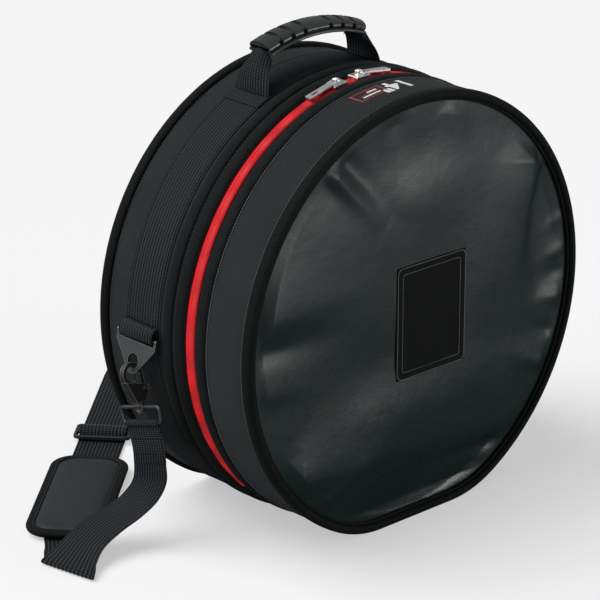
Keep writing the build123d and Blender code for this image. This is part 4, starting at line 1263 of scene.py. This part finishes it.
def build_strap():
    """The whole strap: its drops, its run on the floor with two folds, and its second layer."""
    for name, side, stations, cut, thick, landing in (
            ("left", -1, left_drop(), 78.15, (3.4, 1.8), (-262, 42, 18)),
            ("right", 1, right_drop(), 75.3, (3.6, 3.6), (198, 84, 18))):
        names = [f"Strap_drop_upper_{name}", f"Strap_drop_lower_{name}"]
        upper, lower = split_ribbon(stations, cut, names, thick)
        for piece, first, second, start, end in (
                (upper, f"clip_{name}", f"loop_{name}", hung(side, 37)[0], hung(side, 15)[0]),
                (lower, "bag", f"clip_{name}", np.array(landing), hung(side, 40)[0])):
            dress(piece, "webbing", nodes=[piece.name.lower()])
            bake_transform(piece)
    for name, side in (("left", -1), ("right", 1)):
        piece = strap_end_piece(f"Strap_end_{name}", side)
        dress(piece, "webbing", f"loop_{name}", [f"strap_end_{name}"])
    build_floor_run()


def half_turn(centre, spread, outward, radius, sign):
    """Stations round a fold: half a circle about the crease, from the lower layer to the upper one where
    the sign is 1, or back where it is -1."""
    stations = []
    for angle in np.linspace(0, math.pi, 7):
        out, rise = math.sin(angle), -math.cos(angle) * sign
        stations.append((centre + outward * out * radius + UP * rise * radius, spread, outward * out + UP * rise))
    return stations


def back_run(lift):
    """Stations of one layer of the strap behind the bag, from the fold to the right."""
    fold, target, onward, onward_across, _ = fold_points()
    heights = ((30, 5.8), (60, 5.4), (100, 2.2), (130, 1.8), (180, 1.8), (230, 1.8))
    places = [fold * [1, 1, 0] + onward * distance + UP * (height + lift) for distance, height in heights]
    places.append(target * [1, 1, 0] + UP * (1.8 + lift))
    return [(place, onward_across, UP) for place in places]


def build_floor_run():
    """The strap on the floor: under the pad to the fold behind the bag, then back to the right."""
    fold, _, _, _, crease_line = fold_points()
    centre = fold + UP * 4.8
    outward = unit(np.array([-crease_line[1], crease_line[0], 0.0]))
    left_crease, left_out = np.array([0.17, -0.985, 0.0]), np.array([-0.985, -0.17, 0.0])
    stations = half_turn(np.array([-305.0, 26.0, 3.4]), left_crease * 58, left_out, 1.6, -1)
    stations += [
        ((-301, 29.5, 1.8), (0.20 * 57, -0.98 * 57, 0), DOWN),
        ((-293, 37.5, 1.8), (0.36 * 52, -0.93 * 52, 0), DOWN),
        ((-284.5, 48, 1.8), (0.50 * 48, -0.866 * 48, 0), DOWN),
        (on_strap(-98, 9), ACROSS * 45, DOWN), (on_strap(-78, 4), ACROSS, DOWN)]
    stations += [(on_strap(d), ACROSS, DOWN) for d in (-56, 0, 60, 120, 180, 240, 300, 330)]
    stations += half_turn(centre, crease_line, outward, 3.0, 1) + back_run(2.0)
    strap = ribbon("Shoulder_strap", stations, 1.7, count=420)
    dress(strap, "webbing", "bag", ["shoulder_strap"])
    stations = [(on_strap(d, 0, 3.8), ACROSS, DOWN) for d in (162, 200, 240, 290, 330)]
    stations += half_turn(centre, crease_line, outward, 1.0, 1) + back_run(0.0)
    back = ribbon("Strap_return", stations, 1.7, count=300)
    dress(back, "webbing", nodes=["strap_return"])
    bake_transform(back)


def build_adjuster_webbing():
    """The webbing at the adjuster: the sewn end round its bar, and the strap crossing over that bar."""
    bar = 148.0
    crossing = [(-14.5, 3.9), (-11, 3.9), (-8.0, 4.6), (-5.0, 9.6), (-2.5, 11.0), (2.5, 11.0), (5.0, 9.8),
                (7.6, 6.4), (9.6, 5.7)]
    stations = [(on_strap(bar + a, 0, z), ACROSS, DOWN) for a, z in crossing]
    piece = ribbon("Strap_crossing", stations, 1.5, count=60)
    dress(piece, "webbing", "adjuster", ["adjuster_webbing"])
    loop = [(14.0, 3.8), (7.0, 3.8), (1.0, 3.9), (-2.2, 4.2), (-3.1, 6.3), (-2.2, 8.5), (0, 8.75), (2.2, 8.5),
            (3.1, 6.8)]
    path = flat_line(loop, 70) + [bar, 0]
    sections = bent_sections(path, webbing_section(43.0, 1.2), PAD_CENTRE, ALONG, UP, ACROSS)
    dress(skin("Strap_sewn_end", sections, False), "webbing", "adjuster")


# Shoulder pad


def pad_ring(length, width, corner, height):
    """Points round the pad's outline at a height over the floor."""
    return on_strap(*rounded_rectangle((0.0, 0.0), length, width, corner, 28).T, height)


def pad_rings(rings):
    """Rings round the pad, one after another: each is a length, width, corner and height."""
    return np.stack([pad_ring(*ring) for ring in rings])


def build_pad():
    """The shoulder pad: a crowned cushion, the binding round it, and the sleeve that holds the strap."""
    cushion = pad_rings([(150, 50, 12, 3.8), (158, 58, 16, 3.9), (159.5, 59.5, 18, 5.5), (158.5, 58.5, 18, 8.0),
                         (155, 55, 18, 9.8), (148, 49, 17, 10.9), (132, 38, 14, 11.9), (104, 22, 9, 12.5),
                         (84, 6, 2, 12.7)])
    piece = skin("Pad_cushion", cushion, False)
    dress(piece, "pad", "pad", ["pad_cushion"])
    loop = rounded_loop([(-0.4, 3.7), (2.6, 3.7), (4.0, 5.4), (4.2, 8.0), (2.6, 9.6), (-0.4, 10.0), (-3.4, 9.9),
                         (-4.6, 9.2), (-4.3, 8.2), (-2.6, 7.6), (-1.6, 6.0)], 3)
    rings = pad_rings([(164.0 + 2 * out, 64.0 + 2 * out, 19.0 + out, height) for out, height in loop])
    dress(skin("Pad_binding", rings.transpose(1, 0, 2)), "binding", "pad", ["pad_binding"])
    line = closed(pad_ring(159.0, 59.0, 16.0, 10.1))
    dress(stitches("Pad_stitches", line, UP, 2.8, 2.1, 0.35), "thread", "pad")
    stations = [(on_strap(t, 0, 0.45), ACROSS * 52, DOWN) for t in (-59, -30, 0, 30, 59)]
    dress(ribbon("Pad_sleeve", stations, 0.8, count=40), "webbing", "pad", ["pad_sleeve"])


# Stage


def aimed(place, back, side):
    """The matrix of a lamp or camera at a place, from the directions behind it and to its right."""
    turn = Matrix(np.stack([side, np.cross(back, side), back], 1).tolist()).to_quaternion()
    return Matrix.LocRotScale(place, turn, None)


def area_light(name, place, target, power, width, height):
    """A softbox at a place, aimed at a target."""
    data = bpy.data.lights.new(name, "AREA")
    data.shape = "RECTANGLE"
    data.size = width
    data.size_y = height
    data.energy = power
    back = unit(np.subtract(place, target))
    link(name, data).matrix_world = aimed(place, back, unit(np.cross(Z, back)))


def build_stage():
    """The pale floor, the even room light, a broad light above, two softboxes and the camera."""
    build_floor()
    settings = bpy.context.scene.drumbag_stage
    world = bpy.data.worlds.new("Studio room")
    bpy.context.scene.world = world
    world.use_nodes = True
    w = Wiring(world.node_tree)
    path = w.add("ShaderNodeLightPath").outputs
    seen = w.math("MAXIMUM", path["Is Camera Ray"], path["Is Transmission Ray"])
    even = settings.world_strength
    strength = w.math("ADD", even, w.math("MULTIPLY", seen, 1.0 - even))
    w.give(world.node_tree.nodes["Background"], Color=(0.97, 0.975, 0.985), Strength=strength)
    data = bpy.data.lights.new("Window", "SUN")
    data.energy = settings.key_power
    data.angle = math.radians(48)
    window = link("Window", data)
    window.rotation_euler = Vector((0.42, -0.40, -0.82)).to_track_quat("-Z", "Y").to_euler()
    area_light("Left softbox", (-2.3, 0.3, 1.0), (0, 0, 0.2), settings.side_power, 1.2, 1.2)
    area_light("Face softbox", (1.0, -1.9, 0.33), (-0.02, -0.1, 0.24), settings.face_power, 1.2, 0.56)
    data = bpy.data.cameras.new("Camera")
    data.lens = settings.lens * 1000
    data.sensor_width = 36.0
    camera = link("Camera", data)
    azimuth, elevation = math.radians(-43.2438), math.radians(21.0952)
    right = np.array([math.cos(azimuth), math.sin(azimuth), 0.0])
    back = np.array([right[1] * math.cos(elevation), -right[0] * math.cos(elevation), math.sin(elevation)])
    camera.matrix_world = aimed((-1.97945, -2.04757, 1.27815), back, right)
    bpy.context.scene.camera = camera
    bpy.context.scene.view_settings.view_transform = "Standard"


def build_floor():
    """The pale floor. It glows a little to the camera, and the bag's glossy parts see it darker."""
    mesh = bpy.data.meshes.new("Studio_floor")
    mesh.from_pydata([(-9, -9, 0), (9, -9, 0), (9, 9, 0), (-9, 9, 0)], [], [(0, 1, 2, 3)])
    floor = link("Studio_floor", mesh)
    material, shader, w = plain_material("Floor paper")
    path = w.add("ShaderNodeLightPath").outputs
    pale = tuple(colours().floor)
    paper = w.mix(path["Is Glossy Ray"], pale, tint(pale, 0.16))
    tone = w.mix(path["Is Camera Ray"], paper, tint(pale, 0.58))
    w.give(shader, Base_Color=tone, Roughness=0.8, Specular_IOR_Level=0.2)
    glow = w.give(w.add("ShaderNodeEmission"), Color=(1, 1, 1),
                  Strength=w.math("MULTIPLY", path["Is Camera Ray"], 0.47))
    total = w.add("ShaderNodeAddShader")
    w.join(shader.outputs[0], total.inputs[0])
    w.join(glow.outputs[0], total.inputs[1])
    w.join(total.outputs[0], w.tree.nodes["Material Output"].inputs[0])
    mesh.materials.append(material)


# Operators and panel


def operator_for(key, label, words, build):
    """An operator class that builds one piece or one group of like pieces."""

    def execute(self, context):
        build()
        return {"FINISHED"}

    return type(f"DRUMBAG_OT_{key}", (bpy.types.Operator,), {
        "__doc__": words, "bl_idname": f"drumbag.{key}", "bl_label": label, "execute": execute})


def mix_finishes():
    """Builds the materials that the pieces share."""
    FINISHES.update(make_materials())


STEPS = [
    ("finishes", "Finishes", "Make the materials that the pieces share", mix_finishes),
    ("rear_wall", "Rear wall", "Add the rear half's cloth, padding and lining", build_rear_wall),
    ("back", "Back", "Add the back's three layers and its binding", build_back),
    ("belt", "Belt", "Add the ribbed webbing belt and its stitches", build_belt),
    ("zip_roll", "Zip folds", "Add the two padded folds beside the zip", build_zip_roll),
    ("lid_wall", "Lid wall", "Add the lid's cloth, folded edge, padding and lining", build_lid_wall),
    ("face", "Face", "Add the soft face with its creases", build_face),
    ("front_rim", "Front rim", "Add the front binding and its cord", build_front_rim),
    ("patch", "Patch", "Add the plain patch on the face", build_patch),
    ("label", "Size print", "Add the printed numerals, frame and bars", build_label),
    ("zip", "Zip", "Add the tapes and the red coils, and finish the sliders", build_zip),
    ("gusset", "Hinge strip", "Add the strip that joins the halves under the bag", build_gusset),
    ("handle", "Handle", "Add the handle's legs and feet, and finish its grip", build_handle),
    ("hardware", "Strap hardware", "Add the chapes, and finish the plates, hooks and loops", build_hardware),
    ("strap", "Shoulder strap", "Add the strap's drops and its run on the floor", build_strap),
    ("adjuster", "Adjuster webbing", "Add the webbing that passes the adjuster", build_adjuster_webbing),
    ("pad", "Shoulder pad", "Add the pad, its binding and its sleeve", build_pad),
    ("stage", "Stage", "Add the floor, the lights and the camera", build_stage),
]
OPERATORS = [operator_for(*step) for step in STEPS]


class DRUMBAG_PT_panel(bpy.types.Panel):
    """Lists the bag's pieces and its settings in the sidebar."""

    bl_label = "Drum bag"
    bl_space_type = "VIEW_3D"
    bl_region_type = "UI"
    bl_category = "Drum bag"

    def draw(self, context):
        for step in STEPS:
            self.layout.operator(f"drumbag.{step[0]}")
        for group in ("drumbag_sizes", "drumbag_colours", "drumbag_stage"):
            settings = getattr(context.scene, group)
            for key in settings.__annotations__:
                self.layout.prop(settings, key)


CLASSES = [DrumBagSizes, DrumBagColours, DrumBagStage, *OPERATORS, DRUMBAG_PT_panel]


def register():
    """Registers the classes and hangs the settings on the scene."""
    for item in CLASSES:
        bpy.utils.register_class(item)
    bpy.types.Scene.drumbag_sizes = PointerProperty(type=DrumBagSizes)
    bpy.types.Scene.drumbag_colours = PointerProperty(type=DrumBagColours)
    bpy.types.Scene.drumbag_stage = PointerProperty(type=DrumBagStage)


def unregister():
    """Takes the settings and the classes away again."""
    del bpy.types.Scene.drumbag_stage
    del bpy.types.Scene.drumbag_colours
    del bpy.types.Scene.drumbag_sizes
    for item in reversed(CLASSES):
        bpy.utils.unregister_class(item)


def main():
    """Builds the bag piece by piece, and writes the CAD's box and the finished bag's box."""
    register()
    for step in STEPS:
        getattr(bpy.ops.drumbag, step[0])()


if __name__ == "__main__":
    main()
